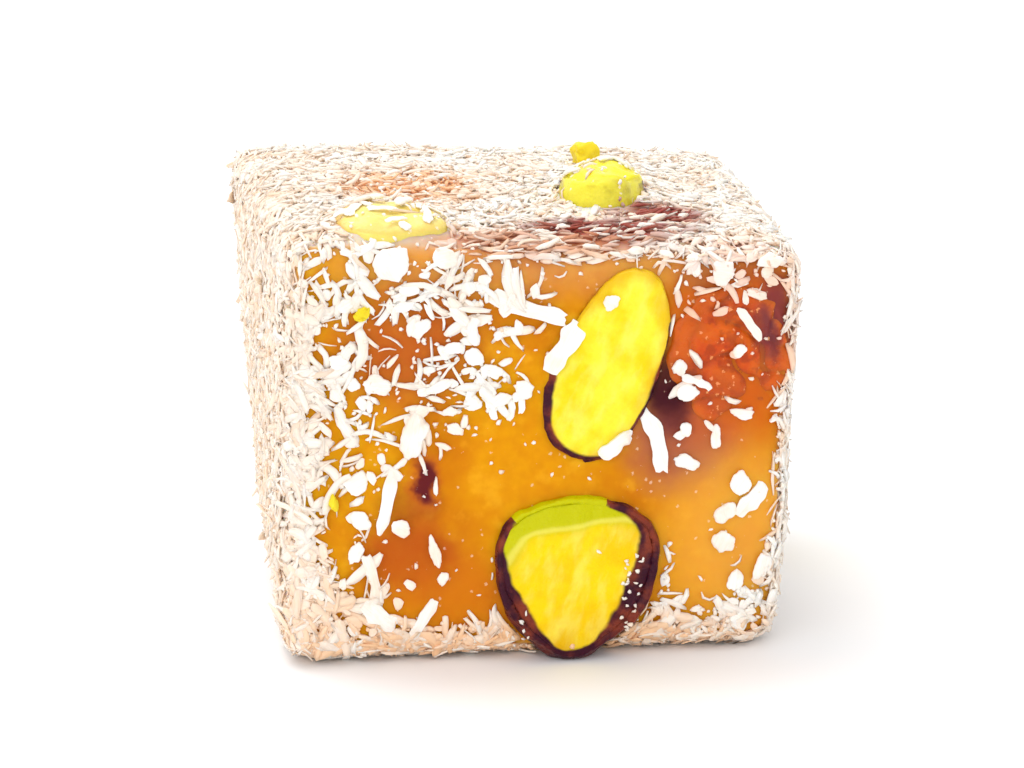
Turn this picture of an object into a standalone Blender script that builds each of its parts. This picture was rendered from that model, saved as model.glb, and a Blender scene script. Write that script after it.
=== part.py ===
"""One cube of Turkish delight: a block of starch jelly with pistachio kernels and candied cherries set in it.

The block stands on its base, centred on the origin, with its bare cut face towards -Y. Its outline is that of
the sweet with its coat of coconut. Each nut or fruit that reaches the surface is its own solid in a socket.
Lengths below are in millimetres and angles in degrees. The meshes are in metres.
"""

import math
from dataclasses import dataclass

import bmesh
import bpy
from mathutils import Matrix, Vector, noise

MM = 0.001

# The block.
WIDTH = 36.0
DEPTH = 35.0
HEIGHT = 30.0
EDGE_RADIUS = 2.3
CROWN = 0.45  # how far the middle of each side swells
WAVE_HEIGHT = 0.32  # how uneven the surface is
WAVE_LENGTH = 8.5
FLAT_RIM = 0.12  # share of the height over which the waves and the crown fade in above the base
CUTS = 13  # grid lines across each face

# How far each corner lies from that of a true box: the block was cut by hand and has sagged a little.
CORNER_SHIFTS = {
    (-1, -1, -1): (-0.6, 0.0, 0.0),
    (1, -1, -1): (-1.3, 0.3, 0.0),
    (-1, 1, -1): (1.8, -0.8, 0.0),
    (1, 1, -1): (0.4, 0.5, 0.0),
    (-1, -1, 1): (0.0, 0.2, 0.7),
    (1, -1, 1): (0.2, 0.0, -1.2),
    (-1, 1, 1): (-0.8, 0.0, 0.3),
    (1, 1, 1): (1.0, 0.0, -0.9),
}

# Sockets.
SOCKET_GAP = 0.3

# Nuts and fruit.
KERNEL_SEGMENTS = 16
KERNEL_RINGS = 11
KERNEL_FULLNESS = 2.7  # 2 is an ellipsoid, and more is blunter at both ends
KERNEL_SEAM = 0.05  # depth of the seam between its two halves, as a share of its radius
FRUIT_SEGMENTS = 16
FRUIT_RINGS = 11
FRUIT_WRINKLE = 0.11  # height of the wrinkles, as a share of the radius
WRINKLES_ACROSS = 1.9

# Each face as (outward, across, up), a right-handed set.
FACES = {
    "front": (Vector((0, -1, 0)), Vector((1, 0, 0)), Vector((0, 0, 1))),
    "back": (Vector((0, 1, 0)), Vector((-1, 0, 0)), Vector((0, 0, 1))),
    "left": (Vector((-1, 0, 0)), Vector((0, -1, 0)), Vector((0, 0, 1))),
    "right": (Vector((1, 0, 0)), Vector((0, 1, 0)), Vector((0, 0, 1))),
    "top": (Vector((0, 0, 1)), Vector((1, 0, 0)), Vector((0, 1, 0))),
}


@dataclass(frozen=True)
class Inclusion:
    """A nut or a fruit that the knife met at a face.

    across and up place its middle on the face, from the face's centre. spin turns its long axis from upright,
    clockwise as seen from outside. sink is how deep its middle lies. proud is how far its cut face stands out of
    the block, and cut_lean how far that face leans off the block's. pitch leans its tip out of the block. taper
    is how much narrower a kernel's tip is than its round end.
    """

    name: str
    kind: str
    face: str
    across: float
    up: float
    length: float
    width: float
    thickness: float
    spin: float
    sink: float
    proud: float
    cut_lean: float = 0.0
    pitch: float = 0.0
    taper: float = 0.14


INCLUSIONS = (
    Inclusion("pistachio_front_upper", "pistachio", "front", 4.5, 6.3, 14.0, 7.4, 7.2, 22, 0.25, 0.5),
    Inclusion("pistachio_front_lower", "pistachio", "front", 2.5, -9.0, 11.2, 10.0, 8.6, 182, 0.5, 1.2,
              cut_lean=5, pitch=-6, taper=0.30),
    Inclusion("pistachio_top_rear", "pistachio", "top", 6.0, -2.8, 10.4, 5.8, 6.2, 12, 0.6, 1.0, cut_lean=-8),
    Inclusion("pistachio_top_front", "pistachio", "top", -10.2, -13.0, 7.0, 7.8, 6.0, -10, 1.6, 0.1, cut_lean=10),
    Inclusion("pistachio_right_upper", "pistachio", "right", -2.5, 6.0, 13.4, 7.6, 7.2, -28, 0.6, 0.5),
    Inclusion("pistachio_right_lower", "pistachio", "right", 7.0, -6.5, 10.8, 8.2, 7.8, 60, 0.9, 0.5),
    Inclusion("pistachio_back_upper", "pistachio", "back", -6.5, 5.5, 14.0, 7.8, 7.4, -62, 0.5, 0.6),
    Inclusion("pistachio_back_lower", "pistachio", "back", 6.5, -6.0, 11.6, 8.6, 8.0, 15, 0.8, 0.6),
    Inclusion("cherry_front", "cherry", "front", 13.2, 6.8, 10.4, 7.8, 7.4, 8, 1.0, 0.3),
    Inclusion("cherry_back", "cherry", "back", 8.5, 6.5, 9.5, 8.6, 7.0, 30, 1.0, 0.4),
    Inclusion("cherry_right", "cherry", "right", -10.0, -6.5, 8.6, 7.0, 6.4, 10, 1.0, 0.4),
)


def corner_shift(place):
    """The shift of the corners, blended over the block. place runs from -1 to 1 along each side."""
    total = Vector((0.0, 0.0, 0.0))
    for corner, shift in CORNER_SHIFTS.items():
        share = math.prod((1 + place[axis] * corner[axis]) / 2 for axis in range(3))
        total += share * Vector(shift)
    return total


def formed(place):
    """The block's surface, in millimetres, at a place on the cube that runs from -1 to 1 along each side."""
    half = Vector((WIDTH, DEPTH, HEIGHT)) / 2
    point = Vector(place[axis] * half[axis] for axis in range(3))
    inner = Vector(
        max(-half[axis] + EDGE_RADIUS, min(half[axis] - EDGE_RADIUS, point[axis])) for axis in range(3)
    )
    outward = (point - inner).normalized()
    point = inner + outward * EDGE_RADIUS
    fade = min(1.0, (place[2] + 1) / 2 / FLAT_RIM)
    for axis in range(3):
        if abs(place[axis]) > 1 - 1e-6:
            others = [place[other] for other in range(3) if other != axis]
            point[axis] += place[axis] * CROWN * fade * (1 - others[0] ** 2) * (1 - others[1] ** 2)
    wave = noise.noise(point / WAVE_LENGTH) + 0.4 * noise.noise(point / (WAVE_LENGTH / 2.7))
    point += outward * WAVE_HEIGHT * fade * wave
    point += corner_shift(place)
    return point + Vector((0, 0, half.z))


def frame_on(inclusion):
    """The matrix whose origin is on the block's face, with X across the face, Y up it and Z out of it."""
    outward, across, up = FACES[inclusion.face]
    half = Vector((WIDTH, DEPTH, HEIGHT)) / 2
    flat = across * inclusion.across + up * inclusion.up
    place = Vector(flat[axis] / half[axis] for axis in range(3)) + outward
    step = 0.02
    origin = formed(place)
    x_axis = (formed(place + across * step) - formed(place - across * step)).normalized()
    z_axis = x_axis.cross(formed(place + up * step) - formed(place - up * step)).normalized()
    y_axis = z_axis.cross(x_axis)
    frame = Matrix((x_axis, y_axis, z_axis)).transposed().to_4x4()
    frame.translation = origin
    return frame


def shape_kernel(mesh, inclusion, gap):
    """Shapes a sphere of radius 1 into a kernel with its long axis on Y: a round end, a tip and a side seam."""
    for vert in mesh.verts:
        along = vert.co.z
        angle = math.atan2(vert.co.y, vert.co.x)
        seam = 1 - KERNEL_SEAM * max(0.0, math.cos(angle)) ** 8
        roundness = max(1e-6, 1 - along**2)
        fullness = math.sqrt(max(1e-6, 1 - abs(along) ** KERNEL_FULLNESS) / roundness)
        ring = seam * fullness * (1 - inclusion.taper * along)
        vert.co = Vector((
            vert.co.x * ring * (inclusion.width / 2 + gap),
            along * (inclusion.length / 2 + gap),
            vert.co.y * ring * (inclusion.thickness / 2 + gap),
        ))


def shape_fruit(mesh, inclusion, gap):
    """Shapes a sphere of radius 1 into a wrinkled fruit with its long axis on Y."""
    for vert in mesh.verts:
        direction = vert.co.normalized()
        shift = Vector((inclusion.length, inclusion.width, inclusion.thickness))
        swell = 1 + FRUIT_WRINKLE * noise.noise(direction * WRINKLES_ACROSS + shift)
        vert.co = Vector((
            direction.x * (swell * inclusion.width / 2 + gap),
            direction.z * (swell * inclusion.length / 2 + gap),
            direction.y * (swell * inclusion.thickness / 2 + gap),
        ))


def inclusion_mesh(inclusion, gap=0.0, cut=True):
    """The nut or fruit as a bmesh in place, in millimetres, larger all round by gap, and cut flat if asked."""
    mesh = bmesh.new()
    if inclusion.kind == "pistachio":
        bmesh.ops.create_uvsphere(mesh, u_segments=KERNEL_SEGMENTS, v_segments=KERNEL_RINGS, radius=1)
        shape_kernel(mesh, inclusion, gap)
    else:
        bmesh.ops.create_uvsphere(mesh, u_segments=FRUIT_SEGMENTS, v_segments=FRUIT_RINGS, radius=1)
        shape_fruit(mesh, inclusion, gap)
    frame = frame_on(inclusion)
    spin = Matrix.Rotation(-math.radians(inclusion.spin), 4, "Z")
    lean = Matrix.Rotation(math.radians(inclusion.pitch), 4, "X")
    sunk = Matrix.Translation((0, 0, -inclusion.sink))
    bmesh.ops.transform(mesh, matrix=frame @ sunk @ spin @ lean, verts=mesh.verts)
    if cut:
        tilt = Matrix.Rotation(math.radians(inclusion.cut_lean), 3, "X")
        outward = frame.to_3x3() @ spin.to_3x3() @ tilt @ Vector((0, 0, 1))
        on_cut = frame @ Vector((0, 0, inclusion.proud))
        parts = [*mesh.verts, *mesh.edges, *mesh.faces]
        made = bmesh.ops.bisect_plane(mesh, geom=parts, plane_co=on_cut, plane_no=outward, clear_outer=True)
        rim = [part for part in made["geom_cut"] if isinstance(part, bmesh.types.BMEdge)]
        bmesh.ops.contextual_create(mesh, geom=rim)
    bmesh.ops.recalc_face_normals(mesh, faces=mesh.faces)
    return mesh


def block_mesh():
    """The block as a bmesh, in millimetres: a cube with a fine grid on each face, moved onto the form."""
    mesh = bmesh.new()
    bmesh.ops.create_cube(mesh, size=2)
    bmesh.ops.subdivide_edges(mesh, edges=mesh.edges, cuts=CUTS, use_grid_fill=True)
    for vert in mesh.verts:
        # The sine crowds the grid lines towards the edges, where the block is round.
        vert.co = formed(Vector(math.sin(part * math.pi / 2) for part in vert.co))
    bmesh.ops.recalc_face_normals(mesh, faces=mesh.faces)
    return mesh


def material(name, colour, roughness):
    """A plain material of that colour."""
    made = bpy.data.materials.new(name)
    made.use_nodes = True
    shader = made.node_tree.nodes["Principled BSDF"]
    shader.inputs["Base Color"].default_value = (*colour, 1)
    shader.inputs["Roughness"].default_value = roughness
    shader.inputs["Metallic"].default_value = 0
    return made


def add_object(name, mesh, finish, parent):
    """Puts a bmesh, in millimetres, into the scene as an object in metres."""
    bmesh.ops.scale(mesh, vec=(MM, MM, MM), verts=mesh.verts)
    data = bpy.data.meshes.new(name)
    mesh.to_mesh(data)
    mesh.free()
    data.shade_smooth()
    data.set_sharp_from_angle(angle=math.radians(40))
    data.materials.append(finish)
    made = bpy.data.objects.new(name, data)
    made.parent = parent
    bpy.context.scene.collection.objects.link(made)
    return made


def cut_socket(block, inclusion, finish, parent):
    """Cuts the room for one nut or fruit out of the block, wider than it by the gap."""
    cutter = add_object("socket_" + inclusion.name, inclusion_mesh(inclusion, SOCKET_GAP, cut=False), finish, parent)
    cutter.hide_render = True
    cutter.display_type = "WIRE"
    socket = block.modifiers.new(cutter.name, "BOOLEAN")
    socket.operation = "DIFFERENCE"
    socket.solver = "EXACT"
    socket.object = cutter


def centre_on_base(parent, shown):
    """Moves everything so that the origin is at the middle of the shown objects' box, on the base."""
    corners = [
        corner
        for made in shown
        for corner in (vert.co for vert in made.data.vertices)
    ]
    low, high = (Vector(pick(c[axis] for c in corners) for axis in range(3)) for pick in (min, max))
    parent.location = (-(low.x + high.x) / 2, -(low.y + high.y) / 2, -low.z)


def clear_scene():
    """Removes what the scene starts with."""
    for made in list(bpy.data.objects):
        bpy.data.objects.remove(made)


def main():
    """Builds the sweet."""
    clear_scene()
    sweet = bpy.data.objects.new("turkish_delight", None)
    bpy.context.scene.collection.objects.link(sweet)
    finishes = {
        "jelly": material("jelly", (0.80, 0.36, 0.05), 0.35),
        "pistachio": material("pistachio", (0.78, 0.70, 0.06), 0.5),
        "cherry": material("cherry", (0.42, 0.05, 0.02), 0.25),
    }
    block = add_object("jelly", block_mesh(), finishes["jelly"], sweet)
    shown = [block]
    for inclusion in INCLUSIONS:
        finish = finishes[inclusion.kind]
        shown.append(add_object(inclusion.name, inclusion_mesh(inclusion), finish, sweet))
        cut_socket(block, inclusion, finish, sweet)
    centre_on_base(sweet, shown)


main()
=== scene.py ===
"""The looks of one cube of Turkish delight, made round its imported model.

The cube is a block of amber starch jelly with pistachio kernels and candied cherries set in it. Its front was
cut last and is nearly bare. Its other sides wear a coat of shredded coconut.

Pieces are shaped in millimetres, and finished meshes are in metres. Angles are in degrees.
"""

import logging
import math
from abc import ABC, abstractmethod
from dataclasses import dataclass, field
from enum import Enum
from functools import cache

import bmesh
import bpy
import numpy as np
from mathutils import Matrix, Vector, kdtree, noise
from mathutils.bvhtree import BVHTree


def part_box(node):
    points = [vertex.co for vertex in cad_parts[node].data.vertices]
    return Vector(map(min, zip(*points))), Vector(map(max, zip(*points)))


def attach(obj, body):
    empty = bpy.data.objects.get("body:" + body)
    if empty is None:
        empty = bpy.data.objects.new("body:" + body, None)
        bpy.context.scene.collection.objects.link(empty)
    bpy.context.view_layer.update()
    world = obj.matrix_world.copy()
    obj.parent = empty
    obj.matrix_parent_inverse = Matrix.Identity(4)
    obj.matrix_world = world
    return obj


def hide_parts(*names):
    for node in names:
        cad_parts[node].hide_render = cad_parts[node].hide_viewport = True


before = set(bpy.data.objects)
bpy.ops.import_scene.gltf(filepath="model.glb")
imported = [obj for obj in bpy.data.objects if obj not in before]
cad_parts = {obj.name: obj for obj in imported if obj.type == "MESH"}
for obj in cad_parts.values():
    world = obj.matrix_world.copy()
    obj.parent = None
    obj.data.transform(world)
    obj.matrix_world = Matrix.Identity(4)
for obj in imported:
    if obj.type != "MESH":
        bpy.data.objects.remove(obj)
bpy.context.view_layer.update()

LOG = logging.getLogger("turkish_delight")
MM = 0.001
BODY = "root"
SEED = 20
FLOOR_GAP = 0.02  # how far above the floor everything stays, in millimetres
ANYWHERE = -9.0  # a room so small that a bit may lie on or in what it is measured from
TRIES = 60  # how often a drift tries to lay each of its bits
BATCH = 8000  # how many places the scattering draws at a time
COMB_SPREAD = 14  # how much combed bits stray from their angle, in degrees
PROUD = 2.2  # the level of bits that lie on the coat: they stay dry and get no painted shade of the deep coat
PALE_TINTS = 0.3  # the share of the range of tints that the bits of drifts take
TINT_SHIFT = 90  # how far apart the fibres of two bits are read
SORTED_ALONG = Vector((1.0, 0.62, 0.38))  # a slant along which no two corners or faces lie level

Colour = tuple[float, float, float, float]
Chance = np.random.Generator
Mesh = bpy.types.Mesh
Node = bpy.types.Node
Object = bpy.types.Object
Shape = bmesh.types.BMesh
Socket = bpy.types.NodeSocket


class Slot(Enum):
    """The record's material slots."""

    JELLY = "jelly"
    PISTACHIO = "pistachio"
    CHERRY = "cherry"
    COCONUT = "coconut"


class Side(Enum):
    """The sides of the block, each as its outward, across and up directions, a right-handed set."""

    FRONT = ((0, -1, 0), (1, 0, 0), (0, 0, 1))
    BACK = ((0, 1, 0), (-1, 0, 0), (0, 0, 1))
    LEFT = ((-1, 0, 0), (0, -1, 0), (0, 0, 1))
    RIGHT = ((1, 0, 0), (0, 1, 0), (0, 0, 1))
    TOP = ((0, 0, 1), (1, 0, 0), (0, 1, 0))
    BASE = ((0, 0, -1), (1, 0, 0), (0, -1, 0))

    def __init__(self, outward: tuple, across: tuple, up: tuple) -> None:
        """Keeps the three directions as vectors."""
        self.outward = Vector(outward)
        self.across = Vector(across)
        self.up = Vector(up)


@dataclass(frozen=True)
class Mark:
    """A place on a side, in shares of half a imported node's width and height from its middle."""

    across: float
    up: float
    node: str = "jelly"
    side: Side = Side.FRONT

    @cache
    def on_side(self) -> tuple[float, float]:
        """Works the place out in millimetres.

        Returns:
            How far across and how far up the side it lies from the side's middle.
        """
        low, high = (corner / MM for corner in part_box(self.node))
        away = (low + high) / 2 - OUTLINE.middle
        half = (high - low) / 2
        across, up = self.side.across, self.side.up
        return (
            away.dot(across) + self.across * abs(half.dot(across)),
            away.dot(up) + self.up * abs(half.dot(up)),
        )


# ---------------- Small tools for numbers and meshes ----------------


def srgb(red: int, green: int, blue: int) -> Colour:
    """Turns a display colour into the linear one that shaders use.

    Args:
        red, green, blue: the display colour, each from 0 to 255.

    Returns:
        The linear colour, with full alpha.
    """
    shares = (red / 255, green / 255, blue / 255)
    linear = (c / 12.92 if c <= 0.04045 else ((c + 0.055) / 1.055) ** 2.4 for c in shares)
    return (*linear, 1.0)


def eased(low: float, high: float, values: np.ndarray) -> np.ndarray:
    """Rises smoothly from 0 at low to 1 at high.

    Args:
        low: where the rise starts. It may be the larger of the two, for a fall.
        high: where it ends.
        values: what to read.

    Returns:
        One share for each value.
    """
    share = np.clip((values - low) / (high - low), 0.0, 1.0)
    return share * share * (3 - 2 * share)


def unit(vectors: np.ndarray) -> np.ndarray:
    """Scales each row to a length of 1."""
    return vectors / np.maximum(np.linalg.norm(vectors, axis=-1, keepdims=True), 1e-9)


def noise_on(places: np.ndarray, wave: float, shift: float = 0.0) -> np.ndarray:
    """Reads smooth noise at many places.

    Args:
        places: one row for each place, in millimetres.
        wave: the noise's wave length in millimetres.
        shift: moves the noise, so that two uses differ.

    Returns:
        One value for each place, from about -1 to 1.
    """
    offset = Vector((shift, 2 * shift, -shift))
    return np.array([noise.noise(Vector(row) / wave + offset) for row in places])


def rows_of(mesh: Mesh, key: str) -> np.ndarray:
    """Reads a vector of each vertex of a mesh.

    Args:
        mesh: the mesh.
        key: which vector, such as co or normal.

    Returns:
        One row for each vertex.
    """
    flat = np.empty(len(mesh.vertices) * 3, np.float32)
    mesh.vertices.foreach_get(key, flat)
    return flat.reshape(-1, 3).astype(float)


def move_to(mesh: Mesh, places: np.ndarray) -> None:
    """Puts a mesh's vertices at these places, one row for each."""
    mesh.vertices.foreach_set("co", places.astype(np.float32).ravel())
    mesh.update()


def paint(mesh: Mesh, name: str, values: np.ndarray) -> None:
    """Stores a number or a vector on each vertex, for a material to read.

    Args:
        mesh: the mesh to paint.
        name: the attribute's name.
        values: one number, or one row of three, for each vertex.
    """
    kind, key = ("FLOAT", "value") if values.ndim == 1 else ("FLOAT_VECTOR", "vector")
    layer = mesh.attributes.new(name, kind, "POINT")
    layer.data.foreach_set(key, values.astype(np.float32).ravel())


def smoothed(mesh: Mesh, values: np.ndarray, passes: int) -> np.ndarray:
    """Averages each vertex's value with its neighbours' values.

    Args:
        mesh: the mesh.
        values: one number for each vertex.
        passes: how often to average.

    Returns:
        The smoother values.
    """
    flat = np.empty(len(mesh.edges) * 2, np.int32)
    mesh.edges.foreach_get("vertices", flat)
    first, second = flat.reshape(-1, 2).T
    neighbours = np.bincount(flat, minlength=len(values))
    for _ in range(passes):
        total = np.bincount(first, values[second], len(values))
        total += np.bincount(second, values[first], len(values))
        values = (values + total / np.maximum(neighbours, 1)) / 2
    return values


def packed_mesh(node: str) -> Shape:
    """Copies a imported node's mesh, with its loose triangles merged, in millimetres.

    Args:
        node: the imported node's name.

    Returns:
        A new bmesh, which the caller frees.
    """
    shape = bmesh.new()
    shape.from_mesh(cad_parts[node].data)
    bmesh.ops.scale(shape, vec=(1 / MM,) * 3, verts=shape.verts)
    bmesh.ops.remove_doubles(shape, verts=shape.verts, dist=0.001)
    return shape


def relax(shape: Shape, passes: int) -> None:
    """Smooths a shape.

    Args:
        shape: the shape.
        passes: how often.
    """
    for _ in range(passes):
        bmesh.ops.smooth_vert(
            shape, verts=shape.verts, factor=0.5, use_axis_x=True, use_axis_y=True, use_axis_z=True
        )


def to_mesh(shape: Shape, name: str) -> Mesh:
    """Writes a bmesh to a new mesh and frees it.

    Args:
        shape: the bmesh.
        name: the mesh's name.

    Returns:
        The mesh.
    """
    mesh = bpy.data.meshes.new(name)
    shape.to_mesh(mesh)
    shape.free()
    return mesh


def add_object(name: str, data: bpy.types.ID) -> Object:
    """Makes an object in the scene.

    Args:
        name: its name.
        data: its mesh, lamp or camera.

    Returns:
        The object.
    """
    made = bpy.data.objects.new(name, data)
    bpy.context.scene.collection.objects.link(made)
    return made


def tree_of(meshes: list[Mesh], scale: float) -> BVHTree:
    """Joins meshes in one tree to measure from.

    Args:
        meshes: the meshes.
        scale: what turns their units into millimetres.

    Returns:
        The tree.
    """
    joined = bmesh.new()
    for mesh in meshes:
        joined.from_mesh(mesh)
    bmesh.ops.scale(joined, vec=(scale,) * 3, verts=joined.verts)
    tree = BVHTree.FromBMesh(joined)
    joined.free()
    return tree


def clearance(tree: BVHTree, point: Vector, reach: float = 3.0) -> float:
    """Measures how far a point lies from the nearest of some solids.

    Args:
        tree: the solids.
        point: the point.
        reach: how far to look.

    Returns:
        The distance, below 0 inside one, or reach where there is none.
    """
    found, normal, _, distance = tree.find_nearest(point, reach)
    if found is None:
        return reach
    return distance if (point - found).dot(normal) >= 0 else -distance


def remeshed(mesh: Mesh, voxel: float) -> Mesh:
    """Rebuilds a closed mesh as even, small faces.

    Args:
        mesh: the mesh, which this removes.
        voxel: the size of a face, in the mesh's own units.

    Returns:
        The new mesh, under the same name.
    """
    name = mesh.name
    holder = add_object(name + "_coarse", mesh)
    modifier = holder.modifiers.new("voxels", "REMESH")
    modifier.mode = "VOXEL"
    modifier.voxel_size = voxel
    seen = holder.evaluated_get(bpy.context.evaluated_depsgraph_get())
    fine = bpy.data.meshes.new_from_object(seen)
    bpy.data.objects.remove(holder)
    bpy.data.meshes.remove(mesh)
    fine.name = name
    return fine


# ---------------- Shader nodes ----------------


class Sheet:
    """A node tree that is laid out by short calls."""

    def __init__(self, tree: bpy.types.NodeTree) -> None:
        """Starts on an empty tree."""
        self.tree = tree
        tree.nodes.clear()

    def add(self, kind: str, settings: dict | None = None, **inputs: object) -> Node:
        """Adds a node.

        Args:
            kind: the node's type, without its ShaderNode start.
            settings: properties of the node.
            inputs: what goes into its sockets, by name with _ for a space: a socket to link, or a value. An
                input called at0, at1 and so on goes by number.

        Returns:
            The new node.
        """
        node = self.tree.nodes.new("ShaderNode" + kind)
        for key, value in (settings or {}).items():
            setattr(node, key, value)
        for key, value in inputs.items():
            place = int(key[2:]) if key[:2] == "at" and key[2:].isdigit() else key.replace("_", " ")
            socket = node.inputs[place]
            if isinstance(value, Socket):
                self.tree.links.new(value, socket)
            else:
                socket.default_value = value
        return node

    def effect(self, effect: "Effect", **inputs: object) -> Socket:
        """Places a shared effect and returns its output."""
        return self.add("Group", {"node_tree": effect.tree()}, **inputs).outputs[effect.output[0]]

    def read(self, name: str, output: str = "Fac") -> Socket:
        """Reads an attribute that paint() stored."""
        return self.add("Attribute", {"attribute_name": name}).outputs[output]

    def math(self, operation: str, first: object, second: object = 0.0) -> Socket:
        """Works out one sum on two numbers."""
        return self.add("Math", {"operation": operation}, at0=first, at1=second).outputs[0]

    def blend(self, share: object, first: object, second: object, mode: str = "MIX") -> Socket:
        """Mixes two colours.

        Args:
            share: how much of the second shows.
            first: the colour below.
            second: the colour above.
            mode: how they mix.

        Returns:
            The mixed colour.
        """
        settings = {"data_type": "RGBA", "blend_type": mode}
        return self.add("Mix", settings, at0=share, at6=first, at7=second).outputs[2]

    def step(
        self, value: object, low: object, high: object, least: float = 0.0, most: float = 1.0
    ) -> Socket:
        """Turns a value into a smooth step.

        Args:
            value: the value.
            low, high: where the step starts and ends.
            least, most: what it gives there.

        Returns:
            The step.
        """
        settings = {"interpolation_type": "SMOOTHSTEP"}
        ends = {"From_Min": low, "From_Max": high, "To_Min": least, "To_Max": most}
        return self.add("MapRange", settings, Value=value, **ends).outputs["Result"]

    def millimetres(self) -> Socket:
        """Gives the place on the object, in millimetres."""
        place = self.add("TexCoord").outputs["Object"]
        node = self.add("VectorMath", {"operation": "SCALE"}, at0=place, Scale=1 / MM)
        return node.outputs[0]

    def vector(self, operation: str, first: object, second: object) -> Socket:
        """Works out one sum on two vectors."""
        return self.add("VectorMath", {"operation": operation}, at0=first, at1=second).outputs[0]

    def over(self, tone: Socket, above: object, mask: Socket, strength: float) -> Socket:
        """Lays a colour over a tone where a mask shows, at some strength."""
        return self.blend(self.math("MULTIPLY", mask, strength), tone, above)

    def bump(self, height: Socket, strength: float, distance: float) -> Socket:
        """Turns a height into a normal. The distance is in millimetres."""
        return self.add("Bump", Height=height, Strength=strength, Distance=distance * MM).outputs[0]

    def mottle(self, place: Socket, wave: float, detail: float, low: float, high: float) -> Socket:
        """Reads cloudy variation, as Mottle makes it."""
        return self.effect(MOTTLE, Place=place, Wave=wave, Detail=detail, Low=low, High=high)

    def stain_and_shade(self, tone: Socket, place: Socket, blots: tuple["Blot", ...]) -> Socket:
        """Lays blots over a colour.

        Args:
            tone: the colour below.
            place: the place on the object, in millimetres.
            blots: the blots, in the order that they cover each other.

        Returns:
            The colour with its blots.
        """
        for blot in blots:
            middle = OUTLINE.place(blot.mark.side, *blot.mark.on_side())
            mask = self.effect(
                STAIN, Place=place, Middle=middle, Size=blot.size, Blur=blot.blur, Waver=blot.waver
            )
            tone = self.over(tone, blot.tone, mask, blot.strength)
        return tone


class Effect(ABC):
    """A shader effect that several finishes share, as a node group that is built once."""

    name: str
    inputs: dict[str, tuple[str, object]]
    output: tuple[str, str]

    def tree(self) -> bpy.types.NodeTree:
        """Finds the group, which the first call builds.

        Returns:
            The group.
        """
        known = bpy.data.node_groups.get(self.name)
        if known is not None:
            return known
        tree = bpy.data.node_groups.new(self.name, "ShaderNodeTree")
        for name, (kind, default) in self.inputs.items():
            socket = tree.interface.new_socket(name, in_out="INPUT", socket_type="NodeSocket" + kind)
            if default is not None:
                socket.default_value = default
        name, kind = self.output
        tree.interface.new_socket(name, in_out="OUTPUT", socket_type="NodeSocket" + kind)
        sheet = Sheet(tree)
        given = tree.nodes.new("NodeGroupInput")
        result = self.lay_out(sheet, given.outputs)
        tree.links.new(result, tree.nodes.new("NodeGroupOutput").inputs[0])
        return tree

    @abstractmethod
    def lay_out(self, sheet: Sheet, given: bpy.types.NodeOutputs) -> Socket:
        """Lays out the group's nodes.

        Args:
            sheet: the group's nodes.
            given: the group's inputs.

        Returns:
            The result.
        """


class Mottle(Effect):
    """Cloudy variation: 0 where a noise is under Low, and 1 where it is over High."""

    name = "mottle"
    inputs = {
        "Place": ("Vector", None),
        "Wave": ("Float", 2.0),
        "Detail": ("Float", 3.0),
        "Low": ("Float", 0.35),
        "High": ("Float", 0.65),
    }
    output = ("Mask", "Float")

    def lay_out(self, sheet: Sheet, given: bpy.types.NodeOutputs) -> Socket:
        """Reads a noise of the given wave length in millimetres, and steps it.

        Args:
            sheet: the group's nodes.
            given: the group's inputs.

        Returns:
            The result.
        """
        scale = sheet.math("DIVIDE", 1.0, given["Wave"])
        cloud = sheet.add("TexNoise", Vector=given["Place"], Scale=scale, Detail=given["Detail"])
        return sheet.step(cloud.outputs["Fac"], given["Low"], given["High"])


class Stain(Effect):
    """A soft blot round a middle, such as fruit that shows through the jelly."""

    name = "stain"
    inputs = {
        "Place": ("Vector", None),
        "Middle": ("Vector", (0.0, 0.0, 0.0)),
        "Size": ("Vector", (3.0, 3.0, 3.0)),
        "Blur": ("Float", 0.4),
        "Waver": ("Float", 1.0),
    }
    output = ("Mask", "Float")

    def lay_out(self, sheet: Sheet, given: bpy.types.NodeOutputs) -> Socket:
        """Measures how far a place lies from the middle in sizes, and fades that out at a wavering edge.

        Args:
            sheet: the group's nodes.
            given: the group's inputs.

        Returns:
            The result.
        """
        cloud = sheet.add("TexNoise", Vector=given["Place"], Scale=0.55, Detail=3.0).outputs["Color"]
        centred = sheet.vector("SUBTRACT", cloud, (0.5, 0.5, 0.5))
        scaled = {"at0": centred, "Scale": given["Waver"]}
        wavered = sheet.add("VectorMath", {"operation": "SCALE"}, **scaled).outputs[0]
        moved = sheet.vector("ADD", given["Place"], wavered)
        away = sheet.vector("SUBTRACT", moved, given["Middle"])
        sized = sheet.vector("DIVIDE", away, given["Size"])
        reach = sheet.add("VectorMath", {"operation": "LENGTH"}, at0=sized).outputs["Value"]
        outer = sheet.math("ADD", 1.0, given["Blur"])
        inner = sheet.math("SUBTRACT", 1.0, given["Blur"])
        return sheet.step(reach, outer, inner)


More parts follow.
